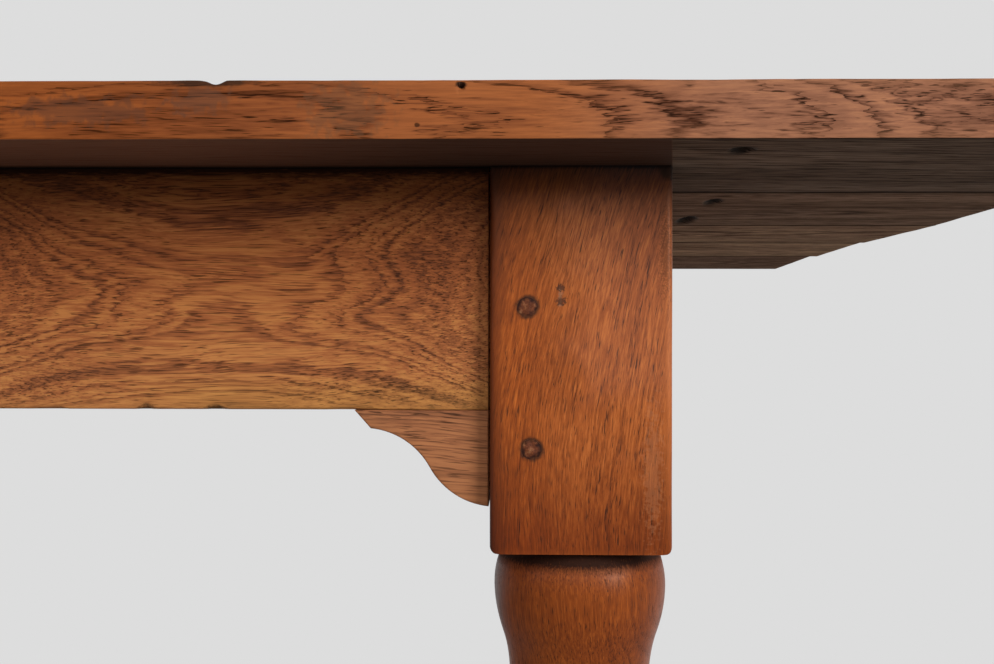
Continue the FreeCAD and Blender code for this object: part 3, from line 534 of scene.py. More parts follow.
rail_looks = {
    "front": dict(heart=(0, -RAIL_FRONT + 54, 687), crook=((-60, 190, 718), (0, 200, 0))),
    "back": dict(heart=(0, RAIL_FRONT - 62, 668), crook=((22, 210, 130), (6, 160, 0))),
    "left": dict(heart=(-RAIL_END + 58, 0, 700), crook=((20, 190, -60), (5, 140, 0))),
    "right": dict(heart=(RAIL_END - 80, 0, 655), crook=((24, 180, 90), (4, 150, 0))),
}
for side, look in rail_looks.items():
    node = f"rail_{side}"
    lengthways = side in ("front", "back")
    middle, carry = laid(node, ALONG_X if lengthways else ALONG_Y, lift=0.2)
    half_length = (LEG_X if lengthways else LEG_Y) - LEG_HALF - SHOULDER_GAP
    dents, fine = [], []
    if side == "front":
        dents = [((x, -RAIL_FRONT, RAIL_BOTTOM), reach, push) for x, reach, push in (
            (688.6, (6, 3, 4), (0, 0.8, 2.2)), (725, (8, 3, 3.5), (0, 0.6, 1.8)),
            (640, (10, 2.5, 2.5), (0, 0.6, 1.0)), (792, (14, 2, 2), (0, 0.5, 0.9)))]
        fine = [(676, 740, 1.2)]
    # The dark line along the rail's top, given as its dirt, is painted shade under the top's overhang
    board = bar(
        bar_stations(half_length, most=7, rounding=0.5, fine=fine), RAIL_HALF, RAIL_ARRISES, step=12,
        wobble=0.2, place=carry, seed=len(side) + middle.x / 300, dents=dents,
        dirt=lambda spot: fade(LEG_TOP - spot.z, 7))
    # The rail paler low down and darker towards its top, partly in the wood and partly painted shade under
    # the top's overhang
    layers = [(ramp(2, 625, 715), "#f0dccb", 1.0, "MULTIPLY"),
              (ramp(2, 700, LEG_TOP), "#c8c6ce", 0.4, "MULTIPLY")]
    # On the front rail the lower edge is golden near the bracket, and dirt sits in two notches
    if side == "front":
        layers += [(both(ramp(2, 640, 627), ramp(0, 660, 740)), "#d0944c", 0.4, "COLOR"),
                   (patch((688.6, -RAIL_FRONT, RAIL_BOTTOM), (5, 9, 3), 0.6, 2), "#1c0f08", 0.8, "MIX"),
                   (patch((725, -RAIL_FRONT, RAIL_BOTTOM), (7, 9, 2.6), 0.6, 2), "#1c0f08", 0.7, "MIX")]
    # Flat-sawn oak under wax: broad flames along the board, broken up by fine dark pores
    finish = oak(f"flat_sawn_oak_{side}_rail", "X" if lengthways else "Y", look["heart"], RAIL_TONES,
                 ring=3.0, crook=look["crook"], pore=(18, 0.5, 0.61, 0.13, 0.72), fleck=(40, 1.1, 1.5),
                 sway=8, sheen=(0.46, 0.17), figure=0.48, layers=layers)
    tenon = bar(bar_stations(half_length + RAIL_TENON, most=40, rounding=0.5), RAIL_TENON_HALF, (0.5,) * 4,
                step=30, wobble=0, place=carry)
    seat(squared(f"board_{node}", [board, tenon]), [finish], node)

# Brackets: eight ogee brackets of the same oak as the rails, band-sawn to a bevel, a hollow and a round,
# glued up under a rail and tenoned into the leg beside it, with a peg through the tenon.
BRACKET_REACH, BRACKET_DROP, BRACKET_BEVEL = 70, 49.5, (8.4, 9.6)
BRACKET_RADIUS = 39
BRACKET_HALF, BRACKET_ARRIS = 13, 0.9
OFF_LEG, OFF_RAIL = 0.8, 0.2
# The tenon's corners, and how far from the leg's face it runs
BRACKET_TENON, TENON_RUN = ((-5, 0.5), (5, 0.5), (5, -42), (-5, -42)), (-6, -3, 20, 24)
# How many steps the outline takes along the rail
RAIL_STEPS = 12
BRACKET_TONES = ("#a66c46", "#8a5638", "#5c3926", "#30180d")


def ogee(start, end, radius, count):
    """Points along two equal arcs that meet halfway, the first of them hollow."""
    start, end = Vector(start), Vector(end)
    halfway = (start + end) / 2
    chord = halfway - start
    square_to = Vector((chord.y, -chord.x)).normalized()
    centre = start + chord / 2 + square_to * sqrt(radius ** 2 - chord.length_squared / 4)
    points = []
    for middle, first, last in ((centre, start, halfway), (halfway * 2 - centre, halfway, end)):
        one, other = first - middle, last - middle
        for number in range(count):
            points.append(middle + (one + (other - one) * number / count).normalized() * radius)
    return points + [end]


def bracket_rings(place):
    """The outline of a bracket, carried through its thickness with softened arrises."""
    tip = (BRACKET_BEVEL[0] - BRACKET_REACH, -BRACKET_BEVEL[1])
    outline = [Vector((-OFF_LEG - (BRACKET_REACH - OFF_LEG) * part / RAIL_STEPS, -OFF_RAIL))
               for part in range(RAIL_STEPS + 1)]
    outline += [Vector((-BRACKET_REACH, -OFF_RAIL)).lerp(Vector(tip), 0.55)]
    outline += ogee(tip, (-OFF_LEG, -BRACKET_DROP), BRACKET_RADIUS, 14)
    outline += [Vector((-OFF_LEG, -BRACKET_DROP + (BRACKET_DROP - OFF_RAIL) * part / 10))
                for part in range(1, 10)]
    edges = [(b - a).normalized() for a, b in zip(outline, outline[1:] + outline[:1])]
    inward = [Vector((-edge.y, edge.x)) for edge in edges]
    mitres = [(one + other) / (1 + one.dot(other)) for one, other in zip(inward[-1:] + inward[:-1], inward)]
    curve = [(BRACKET_HALF, BRACKET_ARRIS + 0.4)]
    curve += [(BRACKET_HALF - BRACKET_ARRIS * (1 - cos(radians(a))), BRACKET_ARRIS * (1 - sin(radians(a))))
              for a in (0, 30, 60, 90)]
    levels = [(-t, drawn_in) for t, drawn_in in curve] + [(t, 0) for t in (-7, 0, 7)] + curve[::-1]
    rings, worn = [], []
    for t, drawn_in in levels:
        ring = []
        for number, (point, mitre) in enumerate(zip(outline, mitres)):
            rub = 1 + 0.5 * noise.noise(Vector((point.x / 9 + 3.1, point.y / 9, t / 9)))
            moved = point + mitre * drawn_in * (rub if number > RAIL_STEPS + 2 else 1)
            ring.append(place(moved.x, t, moved.y))
            worn.append(0.7 * fade(abs(t) - BRACKET_HALF, 3) * (number > RAIL_STEPS))
        rings.append(ring)
    tenon = [[place(x, t, z) for t, z in BRACKET_TENON] for x in TENON_RUN]
    return [rings, tenon], worn + [0.0] * (len(TENON_RUN) * len(BRACKET_TENON))


for along, ends in (("front_back", "left_right"), ("left_right", "front_back")):
    for rail in along.split("_"):
        for end in ends.split("_"):
            node = f"bracket_{rail}_{end}"
            out_x = 1 if "right" in (rail, end) else -1
            out_y = 1 if "back" in (rail, end) else -1
            lengthways = rail in ("front", "back")
            if lengthways:
                root = Vector(((LEG_X - LEG_HALF) * out_x, RAIL_Y * out_y, RAIL_BOTTOM))
                turn = 0 if out_x > 0 else 180
            else:
                root = Vector((RAIL_X * out_x, (LEG_Y - LEG_HALF) * out_y, RAIL_BOTTOM))
                turn = 90 * out_y
            spin = Matrix.Rotation(radians(turn), 3, "Z")
            shells, worn = bracket_rings(lambda a, t, b: root + spin @ Vector((a, t, b)))
            off_heart = Vector((0, 46, 60) if lengthways else (46, 0, 60))
            heart = root + spin @ Vector((-30, 0, 0)) + off_heart
            # Band-sawn oak: the rails' colour but duller, in streaks that run out at the sawn curve
            finish = oak(f"band_sawn_oak_{rail}_{end}", "X" if lengthways else "Y", heart, BRACKET_TONES,
                         ring=2.8, crook=((9, 90, root.x), (6, 70, root.y)), sheen=(0.48, 0.18), figure=0.6)
            seat(loft(f"ogee_{node}", shells, {"worn": worn}), [finish], node)

# Stretchers: an H of squared oak bars low between the legs, 44 by 62 mm, their arrises rubbed by feet.
# The end bars are tenoned into the foot blocks, and the middle one passes right through both, pegged.
STRETCHER_HALF, STRETCHER_ARRISES = (22, 31), (3.4, 3.4, 2.6, 2.6)
# Half the lengths of the end bars, of the middle one between its shoulders and of that one with its tenons
END_BAR, MIDDLE_BAR, THROUGH_BAR, THROUGH_HALF = 306.6, 890.6, 935.4, (17, 10)
STRETCHER_TONES = ("#a5683f", "#8a5230", "#643619", "#34190c")
stretcher_looks = {"left": ((-LEG_X + 40, 0, 150), END_BAR, ALONG_Y),
                   "right": ((LEG_X + 52, 0, 75), END_BAR, ALONG_Y),
                   "middle": ((0, -58, 160), MIDDLE_BAR, ALONG_X)}
for side, (heart, half_length, turn) in stretcher_looks.items():
    node = f"stretcher_{side}"
    middle, carry = laid(node, turn)
    bars = [bar(bar_stations(half_length, most=8, rounding=0.6), STRETCHER_HALF, STRETCHER_ARRISES, step=10,
                wobble=0.4, place=carry, seed=middle.x / 200)]
    if side == "middle":
        bars.append(bar(bar_stations(THROUGH_BAR, most=30, rounding=0.5), THROUGH_HALF, (0.5,) * 4, step=9,
                        wobble=0.1, place=carry, seed=4))
    # Planed oak rubbed by feet: plain grain, a low sheen and pale arrises
    finish = oak(f"squared_oak_{side}_stretcher", "X" if side == "middle" else "Y", heart, STRETCHER_TONES,
                 ring=3.0, crook=((9, 230, 60), (6, 170, 0)), sheen=(0.45, 0.2))
    seat(squared(f"bar_{node}", bars), [finish], node)

# Bearers: three oak battens, 70 by 40 mm, laid flat across the frame under the boards of the top.
# Their ends are housed into the long rails, and they were left from the saw, without wax.
BEARER_TONES = ("#8a6748", "#6d4d35", "#4c3322", "#281810")
BEARER_X, BEARER_REACH = 480, 374.8
BEARER_HALF, BEARER_ARRISES = (35, 20), (0.4, 0.4, 1.2, 1.2)
for side, x in (("left", -BEARER_X), ("middle", 0), ("right", BEARER_X)):
    node = f"bearer_{side}"
    _, carry = laid(node, ALONG_Y)
    batten = bar(bar_stations(BEARER_REACH, most=9, rounding=0.4), BEARER_HALF, BEARER_ARRISES, step=11,
                 wobble=0.4, place=carry, seed=x / 100)
    # Oak from the saw, never waxed: dry, dull and greyer than the frame
    finish = oak(f"sawn_unwaxed_oak_{side}_bearer", "Y", (x + 30, 0, 660), BEARER_TONES, ring=3.2,
                 crook=((8, 200, 40), (5, 160, 0)), sheen=(0.75, 0.1), figure=0.6)
    seat(squared(f"batten_{node}", [batten]), [finish], node)

# Top: five boards of oak, 26 mm thick and of five widths, with hand-sawn ends that do not line up.
# The upper side and the edges are waxed and worn; the underside is bare, grey and rough from the saw.
TOP_LEVEL, TOP_MIDDLE, TOP_FACE, TOP_HALF_THICK = LEG_TOP, 757, 770, 13
BOARD_JOINTS = (-475, -292, -92, 70, 247, 475)
FRONT_EDGE = BOARD_JOINTS[0]
# Half the gap that has opened between the boards, and the grooves in which the tongues lie
OPENED = 0.2
GROOVE_DEPTH, GROOVE_HALF, GROOVE_END = 12.15, 3.65, 1142
# How far each board's corners fall short of the full length: left near, left far, right near, right far
BOARD_SHORTS = ((0, 9, 13, 10), (12, 15, 14, 7), (10, 6, 6.5, 12), (13, 9, 16, 8), (7, 11, 15, 0))
TOP_HALF = 1212
TOP_TONES = ("#a46f4f", "#875942", "#432416", "#201009")
# What sets the boards behind the front one apart from it
BOARD_TINTS = ("#d6c4b6", "#f4e2d2", "#c8b5a6", "#e8d5c4")
# The bare undersides, from the front board to the back one, each of another plank and age
UNDER_TONES = (("#846d5b", "#5f4b3c", "#3c2d21", "#1b110a"), ("#a18069", "#7b5d47", "#4b3628", "#1b110a"),
               ("#d0aa86", "#a88369", "#6b4f3c", "#20150e"), ("#d2ac88", "#ab856a", "#6d503c", "#20150e"),
               ("#a9846a", "#815f49", "#53392a", "#1b110a"))
# The redder strip under the front edge: its colour, where it ends on the right, how askew, and its back
BAND_TONE = "#7b5441"
BAND_END, BAND_SKEW, BAND_BACK = 1014.1, 0.1382, -386.0
board_looks = [dict(heart=(0, -415, 749), crook=((14, 160, 750), (0, 200, 0))),
               dict(heart=(0, -190, 690), crook=((14, 330, 200), (12, 300, -350))),
               dict(heart=(0, -20, 845), crook=((10, 280, -300), (15, 350, 300))),
               dict(heart=(0, 175, 695), crook=((16, 310, 500), (14, 290, 0))),
               dict(heart=(0, 345, 850), crook=((12, 350, -100), (16, 320, 600)))]
nick = [((749, FRONT_EDGE, TOP_FACE), (5, 12, 5), (0, 0.4, -1.6)),
        ((746, FRONT_EDGE, TOP_FACE), (5, 12, 4), (0, 0.2, -0.5))]
# The front board is warmer to the left and on top, dark at the nick, stained in three places, and dirty in
# two nail holes
front_edge = ramp(1, -471, -474.5)
marks = [(both(ramp(0, 985, 880), front_edge), "#f2d2a6", 1.0, "MULTIPLY"),
         (both(ramp(0, 875, 825), front_edge), "#f1eeef", 1.0, "MULTIPLY"),
         (both(ramp(0, 830, 660), front_edge), "#fef1d1", 1.0, "MULTIPLY"),
         (both(ramp(2, 760, TOP_FACE), ramp(1, -474.5, -471)), "#f0cda4", 1.0, "MULTIPLY"),
         (patch((745, FRONT_EDGE, 769.5), (27, 9, 3.4), 0.5, 5), "#2b1d15", 0.85, "MIX"),
         (patch((805.5, FRONT_EDGE, 757), (22, 9, 15), 1.3, 3.0), "#66452f", 0.45, "MIX"),
         (patch((690, FRONT_EDGE, 757), (40, 9, 8), 1.1, 4), "#543627", 0.55, "MIX"),
         (patch((742, FRONT_EDGE, 761), (16, 9, 7), 1.1, 4), "#5a3d2e", 0.5, "MIX"),
         (patch((856.2, FRONT_EDGE, 767.7), (3.2, 9, 1.8), 0.35, 1.5), "#0d0705", 0.95, "MIX"),
         (patch((837, FRONT_EDGE, 750.2), (1.6, 9, 1.2), 0.3, 1.5), "#1d0f08", 0.8, "MIX")]
nail_holes = [((856.2, FRONT_EDGE, 767.6), (2.0, 3, 1.2), (0, 4, 0)),
              ((837, FRONT_EDGE, 750.2), (1.0, 3, 0.9), (0, 2, 0))]
under_holes = {1: [((984.5, -443.7, TOP_LEVEL), (6.5, 9, 3), (0, 0, 4))],
               2: [((1006, -245, TOP_LEVEL), (6, 18, 3), (0, 0, 4)),
                   ((1006, -130, TOP_LEVEL), (7.5, 32, 3), (0, 0, 5))]}


def front_underside_strip(tree, mm):
    """The strip of bare underside before the front legs, redder than the rest of it."""
    x, y = (add(tree, "SeparateXYZ", {0: mm}, out=axis) for axis in (0, 1))
    edge = add(tree, "Math", {0: y, 1: BAND_SKEW, 2: BAND_END}, operation="MULTIPLY_ADD")
    inside = add(tree, "Math", {0: edge, 1: x}, operation="SUBTRACT")
    ahead = add(tree, "Math", {0: BAND_BACK, 1: y}, operation="SUBTRACT")
    within = add(tree, "Math", {0: inside, 1: ahead}, operation="MINIMUM")
    return add(tree, "MapRange", {0: within, 1: 0.0, 2: 0.8, 3: 0.0, 4: 1.0})


for number, (look, shorts) in enumerate(zip(board_looks, BOARD_SHORTS), start=1):
    node = f"top_plank_{number}"
    near, far = BOARD_JOINTS[number - 1:number + 1]
    near += OPENED * (number > 1)
    far -= OPENED * (number < 5)
    width, middle = far - near, (near + far) / 2

    def carry(s, u, v):
        """A point of the board, with its ends sawn askew."""
        share = u / width + 0.5
        left = -TOP_HALF + shorts[0] + (shorts[1] - shorts[0]) * share
        right = TOP_HALF - shorts[2] - (shorts[3] - shorts[2]) * share
        return left + (right - left) * (s + TOP_HALF) / (2 * TOP_HALF), middle + u, TOP_MIDDLE + v

    front, back = number == 1, number == 5
    arrises = (1.2 if back else 0.5, 1.2 if front else 0.5, 0.8 if front else 0.5, 0.8 if back else 0.5)
    grooved = (3,) if front else (1,) if back else (1, 3)
    joints = [joint for joint in (near, far) if abs(joint) < abs(FRONT_EDGE) - 5]

    def in_joint(spot):
        """The dirt that has gathered along the joints, but not at the ends of the board."""
        return max(fade(spot.y - joint, 3.5) for joint in joints) * (abs(spot.x) < TOP_HALF - 17)

    holes = under_holes.get(number, [])
    dents = (nick + nail_holes if front else []) + holes
    fine = [(738, 770, 1.0), (841, 851, 0.7), (859, 872, 0.7)] if front else []
    if holes:
        fine.append((980, 1022, 2.0))
    fine += [(end - 0.4, end + 0.4, 0.4) for end in (-GROOVE_END, GROOVE_END)]
    groove = dict(depth=GROOVE_DEPTH, half=GROOVE_HALF, end=GROOVE_END, sides=grooved)
    board = bar(
        bar_stations(TOP_HALF, most=9, rounding=1.2, fine=fine), (width / 2, TOP_HALF_THICK), arrises,
        step=2 if front else 6, wobble=0.2, place=carry, seed=number * 2.7, groove=groove, dents=dents,
        dirt=in_joint)
    mesh = squared(f"board_{node}", [board])
    for face in mesh.polygons:
        x, y, _ = face.center / MM
        holed = any(abs(x - at[0]) < reach[0] and abs(y - at[1]) < reach[1] for at, reach, _ in holes)
        face.material_index = int(face.normal.z < (0 if holed else -0.7))
    # Waxed oak, dulled by use: ragged dark rings and pores packed with dirt; a ramp that ends below the
    # boards tints the whole of a board
    tints = marks if front else [(ramp(2, 760, TOP_FACE), "#f6d2a6", 1.0, "MULTIPLY"),
                                 (ramp(2, 700, 701), BOARD_TINTS[number - 2], 1.0, "MULTIPLY")]
    finish = oak(f"waxed_oak_board_{number}", "X", look["heart"], TOP_TONES, ring=3.4, crook=look["crook"],
                 sway=3 if front else 6, pore=(15, 0.6, 0.7, 0.22, 0.95), fleck=(50, 1.4, 1.1),
                 sheen=(0.6, 0.08), wear=0.3, figure=0.55, layers=tints)
    spots = [(patch(at, (reach[0] + 1.5, reach[1] + 6, 9), 0.2, 4), "#070403", 0.95, "MIX")
             for at, reach, _ in holes]
    # The strip's own redder tone, then painted shade deepening towards the rail, a black line of painted
    # shadow at the rail's face and painted shade towards the leg
    band = [(front_underside_strip, BAND_TONE, 0.85, "MIX"),
            (both(front_underside_strip, ramp(1, -470, -398)), "#b4aca4", 0.7, "MULTIPLY"),
            (both(front_underside_strip, ramp(1, -404, -392)), "#1f1a17", 1.0, "MULTIPLY"),
            (both(front_underside_strip, ramp(0, 700, 870)), "#a9acb0", 1.0, "MULTIPLY")] if front else []
    # Bare oak from the saw: dry and grey-brown, with coarse open pores and dirty arrises
    under = oak(f"bare_grey_oak_board_{number}", "X", look["heart"], UNDER_TONES[number - 1], ring=3.4,
                crook=look["crook"], pore=(30, 1.3, 0.6, 0.13, 0.8), sheen=(0.8, 0.08), wear=0.8,
                rubbed="#1d120b", figure=0.8, layers=band + spots)
    seat(mesh, [finish, under], node)

# Tongues: loose strips of oak in grooves between the boards, which keep them level. They lie out of sight,
# so the frame's own solids stand for them, in plain planed oak without wax.
tongue_finish = oak("planed_oak_tongue", "X", (0, 0, 700), BEARER_TONES, sheen=(0.7, 0.1))
for number in range(1, 5):
    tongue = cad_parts[f"top_tongue_{number}"]
    tongue.data.materials.clear()
    tongue.data.materials.append(tongue_finish)

# Pegs: riven oak pins, whittled to a taper and driven dry through each joint and down through the boards.
# Their heads show end grain, a little proud and darker than the wood round them.
PORE_SPACING, BLOTCH = 0.9, 2.4
# How many cuts the knife left to the metre, and how far they reach
KNIFE_CUTS, CUT_DEPTH = 260.0, 1.6 * MM
# Riven oak cut across: matt and mottled, with dirt at its rim and its pores as dark dots, which are drawn
# about three times as wide as real ones so that they show
peg_finish = bpy.data.materials.new("riven_oak_end_grain")
peg_tree = cleared(peg_finish)
peg_at = add(peg_tree, "TexCoord", out="Object")
peg_mm = add(peg_tree, "VectorMath", {0: peg_at, "Scale": 1 / MM}, operation="SCALE")
peg_dots = add(peg_tree, "TexVoronoi", {"Vector": peg_mm, "Scale": 1 / PORE_SPACING, "Randomness": 1.0},
               out="Distance")
peg_blotch = add(peg_tree, "TexNoise", {"Vector": peg_mm, "Scale": 1 / BLOTCH, "Detail": 3.0})
peg_tone = add(peg_tree, "Attribute", out="Fac", attribute_name="tone")
peg_stained = add(peg_tree, "Math", {0: peg_blotch, 1: 0.7}, operation="MULTIPLY")
peg_mixed = add(peg_tree, "Math", {0: peg_tone, 1: 0.23, 2: peg_stained}, operation="MULTIPLY_ADD")
peg_colour = add(peg_tree, "ValToRGB", {0: peg_mixed}, stops=[
    (0.24, "#2a140c"), (0.42, "#4e281a"), (0.6, "#6b3a22"), (0.9, "#b07f56")])
peg_open = add(peg_tree, "MapRange", {0: peg_dots, 1: 0.32, 2: 0.12, 3: 0.0, 4: 0.7})
peg_rim = add(peg_tree, "Attribute", out="Fac", attribute_name="edge")
peg_ragged = add(peg_tree, "Math", {0: peg_blotch, 1: -0.7, 2: peg_rim}, operation="MULTIPLY_ADD")
peg_soot = add(peg_tree, "MapRange", {0: peg_ragged, 1: 0.28, 2: 0.58, 3: 0.0, 4: 0.85})
peg_dark = add(peg_tree, "Mix", {0: peg_open, 6: peg_colour, 7: linear("#24120b")}, out=2, data_type="RGBA")
peg_bump = add(peg_tree, "Bump", {"Strength": 0.6, "Distance": 0.3 * MM, "Height": peg_blotch})
peg_dark = add(peg_tree, "Mix", {0: peg_soot, 6: peg_dark, 7: linear("#190c07")}, out=2, data_type="RGBA")
peg_surface = add(peg_tree, "BsdfPrincipled", {"Base Color": peg_dark, "Roughness": 0.6, "IOR": 1.5,
                                               "Specular IOR Level": 0.1, "Normal": peg_bump})
add(peg_tree, "OutputMaterial", {"Surface": peg_surface})

# On every point a tapered pin with a domed, proud head, turned the way it was driven, toned and whittled
pins = bpy.data.node_groups.new("driven_pegs", "GeometryNodeTree")
pins.interface.new_socket("Geometry", in_out="OUTPUT", socket_type="NodeSocketGeometry")
pins.interface.new_socket("Geometry", in_out="INPUT", socket_type="NodeSocketGeometry")
pin_inputs = {}
for label, kind in (("Head diameter", "Float"), ("Tip diameter", "Float"), ("Length", "Float"),
                    ("Proud", "Float"), ("Dome", "Float"), ("Paleness", "Float"), ("Sides", "Int"),
                    ("Seed", "Int")):
    socket = pins.interface.new_socket(label, in_out="INPUT", socket_type=f"NodeSocket{kind}")
    pin_inputs[label] = socket.identifier
given = pins.nodes.new("NodeGroupInput").outputs
head = add(pins, "Math", {0: given["Head diameter"], 1: 0.5}, operation="MULTIPLY")
tip = add(pins, "Math", {0: given["Tip diameter"], 1: 0.5}, operation="MULTIPLY")
cone = add(pins, "GeometryNodeMeshCone", {
    "Vertices": given["Sides"], "Side Segments": 2, "Fill Segments": 3, "Radius Top": tip,
    "Radius Bottom": head, "Depth": given["Length"]})
place = add(pins, "GeometryNodeInputPosition")
level = add(pins, "VectorMath", {0: place, 1: (1, 1, 0)}, operation="MULTIPLY")
from_axis = add(pins, "VectorMath", {0: level}, out="Value", operation="LENGTH")
part = add(pins, "Math", {0: from_axis, 1: head}, operation="DIVIDE")
part_squared = add(pins, "Math", {0: part, 1: 2.0}, operation="POWER")
sunk = add(pins, "Math", {0: part_squared, 1: given["Dome"]}, operation="MULTIPLY")
height = add(pins, "SeparateXYZ", {0: place}, out=2)
on_head = add(pins, "Math", {0: height, 1: MM}, operation="LESS_THAN")
sinking = add(pins, "Math", {0: sunk, 1: on_head}, operation="MULTIPLY")
raised = add(pins, "Math", {0: sinking, 1: given["Proud"]}, operation="SUBTRACT")
shift = add(pins, "CombineXYZ", {2: raised})
edged = add(pins, "GeometryNodeStoreNamedAttribute", {"Geometry": cone, "Name": "edge", "Value": part},
            data_type="FLOAT", domain="POINT")
peg = add(pins, "GeometryNodeSetPosition", {"Geometry": edged, "Offset": shift})
driven = add(pins, "GeometryNodeInputNamedAttribute", {"Name": "driven"}, data_type="FLOAT_VECTOR")
aim = add(pins, "FunctionNodeAlignRotationToVector", {"Vector": driven}, axis="Z")
twist = add(pins, "FunctionNodeRandomValue", {"Min": (0, 0, 0), "Max": (0, 0, 6.28), "Seed": given["Seed"]},
            data_type="FLOAT_VECTOR")
spin = add(pins, "FunctionNodeEulerToRotation", {0: twist})
aimed = add(pins, "FunctionNodeRotateRotation", {0: aim, 1: spin}, rotation_space="LOCAL")
share = add(pins, "GeometryNodeInputNamedAttribute", {"Name": "length_share"}, data_type="FLOAT")
stretch = add(pins, "CombineXYZ", {0: 1.0, 1: 1.0, 2: share})
each = add(pins, "GeometryNodeInstanceOnPoints", {
    "Points": given["Geometry"], "Instance": peg, "Rotation": aimed, "Scale": stretch})
tone = add(pins, "FunctionNodeRandomValue", {2: 0.0, 3: 1.0, "Seed": given["Seed"]}, out=1,
           data_type="FLOAT")
tone = add(pins, "Math", {0: tone, 1: given["Paleness"]}, operation="ADD")
toned = add(pins, "GeometryNodeStoreNamedAttribute", {"Geometry": each, "Name": "tone", "Value": tone},
            data_type="FLOAT", domain="INSTANCE")
real = add(pins, "GeometryNodeRealizeInstances", {0: toned})
rough = add(pins, "TexNoise", {"Vector": place, "Scale": KNIFE_CUTS, "Detail": 1.0}, out="Color")
uneven = add(pins, "VectorMath", {0: rough, 1: (0.5, 0.5, 0.5)}, operation="SUBTRACT")
carved = add(pins, "VectorMath", {0: uneven, "Scale": CUT_DEPTH}, operation="SCALE")
cut = add(pins, "GeometryNodeSetPosition", {"Geometry": real, "Offset": carved})
made = add(pins, "GeometryNodeSetMaterial", {"Geometry": cut, "Material": peg_finish})
pins.links.new(made, pins.nodes.new("NodeGroupOutput").inputs[0])

# Each peg's head, the way it was driven, and its length as a share of the longest of its kind
INNER_X, OUTER_X, INNER_Y, OUTER_Y = LEG_X - LEG_HALF, LEG_X + LEG_HALF, LEG_Y - LEG_HALF, LEG_Y + LEG_HALF
STRETCHER_TOP, SHORT_PEG, LONG_PEG = 147, 52, 70
frame_pegs = {"rail_pegs": [], "bracket_pegs": [], "stretcher_pegs": []}
for x in (-1, 1):
    for y in (-1, 1):
        for label, (inset, level) in (("rail_pegs", RAIL_PEG), ("bracket_pegs", BRACKET_PEG)):
            frame_pegs[label] += [((x * (INNER_X + inset), y * OUTER_Y, level), (0, -y, 0), 1),
                                  ((x * OUTER_X, y * (INNER_Y + inset), level), (-x, 0, 0), 1)]
        inset, level = STRETCHER_PEG
        frame_pegs["stretcher_pegs"].append(((x * OUTER_X, y * (INNER_Y + inset), level), (-x, 0, 0), 1))
    frame_pegs["stretcher_pegs"].append(((x * LEG_X, 0, STRETCHER_TOP), (0, 0, -1), SHORT_PEG / LONG_PEG))
top_pegs = []
bearer_lines = (-BEARER_X, 0, BEARER_X)
# Two in each inner board at every bearer and end rail
for number in (2, 3, 4):
    near, far = BOARD_JOINTS[number - 1:number + 1]
    top_pegs += [(x, near + part * (far - near)) for x in (-RAIL_X, *bearer_lines, RAIL_X)
                 for part in (0.23, 0.77)]
# In an outer board one at every bearer, four along the rail and one over each leg
for side, line in ((-1, -327.5), (1, 305)):
    top_pegs += [(x, line) for x in bearer_lines] + [(x, side * RAIL_Y) for x in (-720, -240, 240, 720)]
    top_pegs += [(x, side * LEG_Y) for x in (-LEG_X, LEG_X)]
frame_pegs["top_pegs"] = [((x, y, TOP_FACE), (0, 0, -1), 1) for x, y in top_pegs]
# Diameters at the head and the tip, length, paleness and seed
peg_sizes = {"rail_pegs": (10.6, 8.6, 62, 0.0, 3), "bracket_pegs": (10.6, 8.6, 62, 0.3, 8),
             "stretcher_pegs": (10.6, 8.6, LONG_PEG, 0.0, 5), "top_pegs": (9, 7.4, 56, 1.2, 11)}
for label, spots in frame_pegs.items():
    mesh = bpy.data.meshes.new(f"riven_{label}")
    mesh.from_pydata([Vector(head) * MM for head, _, _ in spots], [], [])
    mesh.attributes.new("driven", "FLOAT_VECTOR", "POINT").data.foreach_set(
        "vector", [value for _, way, _ in spots for value in way])
    mesh.attributes.new("length_share", "FLOAT", "POINT").data.foreach_set(
        "value", [part for _, _, part in spots])
    holder = shown(f"riven_{label}", mesh)
    modifier = holder.modifiers.new("pegs", "NODES")
    modifier.node_group = pins
    head_size, tip_size, length, paleness, seed = peg_sizes[label]
    for name, setting in (("Head diameter", head_size * MM), ("Tip diameter", tip_size * MM),
                          ("Length", length * MM), ("Proud", 0.5 * MM), ("Dome", 0.55 * MM),
                          ("Paleness", paleness), ("Sides", 11), ("Seed", seed)):
        modifier[pin_inputs[name]] = setting
    bpy.context.view_layer.update()
    evaluated = holder.evaluated_get(bpy.context.evaluated_depsgraph_get())
    carved_pegs = bpy.data.meshes.new_from_object(evaluated)
    holder.modifiers.clear()
    holder.data = carved_pegs
    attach(holder, "root")
    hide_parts(label)

# Floor and backdrop: a flat sheet of pale grey paper under a world of the same grey. Far from the table
# it shows plain #dddddd, and near the table it is a matt sheet that takes the table's shadow.
PAPER = "#dddddd"
# Half the sheet's width and the reach of its matt part along the table and across, in metres
FLOOR_HALF, SHADOW_REACH = 14, (2.0, 1.15)


def backdrop_rays(tree):
    """The kinds of ray, and 1 for those that show the backdrop to the camera, in a gloss or through glass."""
    rays = tree.nodes.new("ShaderNodeLightPath").outputs
    seen = add(tree, "Math", {0: rays["Is Camera Ray"], 1: rays["Is Glossy Ray"]}, operation="MAXIMUM")
    return rays, add(tree, "Math", {0: seen, 1: rays["Is Transmission Ray"]}, operation="MAXIMUM")


floor_mesh = bpy.data.meshes.new("paper_floor")
corners = ((-1, -1), (1, -1), (1, 1), (-1, 1))
floor_mesh.from_pydata([(x * FLOOR_HALF, y * FLOOR_HALF, 0) for x, y in corners], [], [(0, 1, 2, 3)])
floor = shown("paper_floor", floor_mesh)
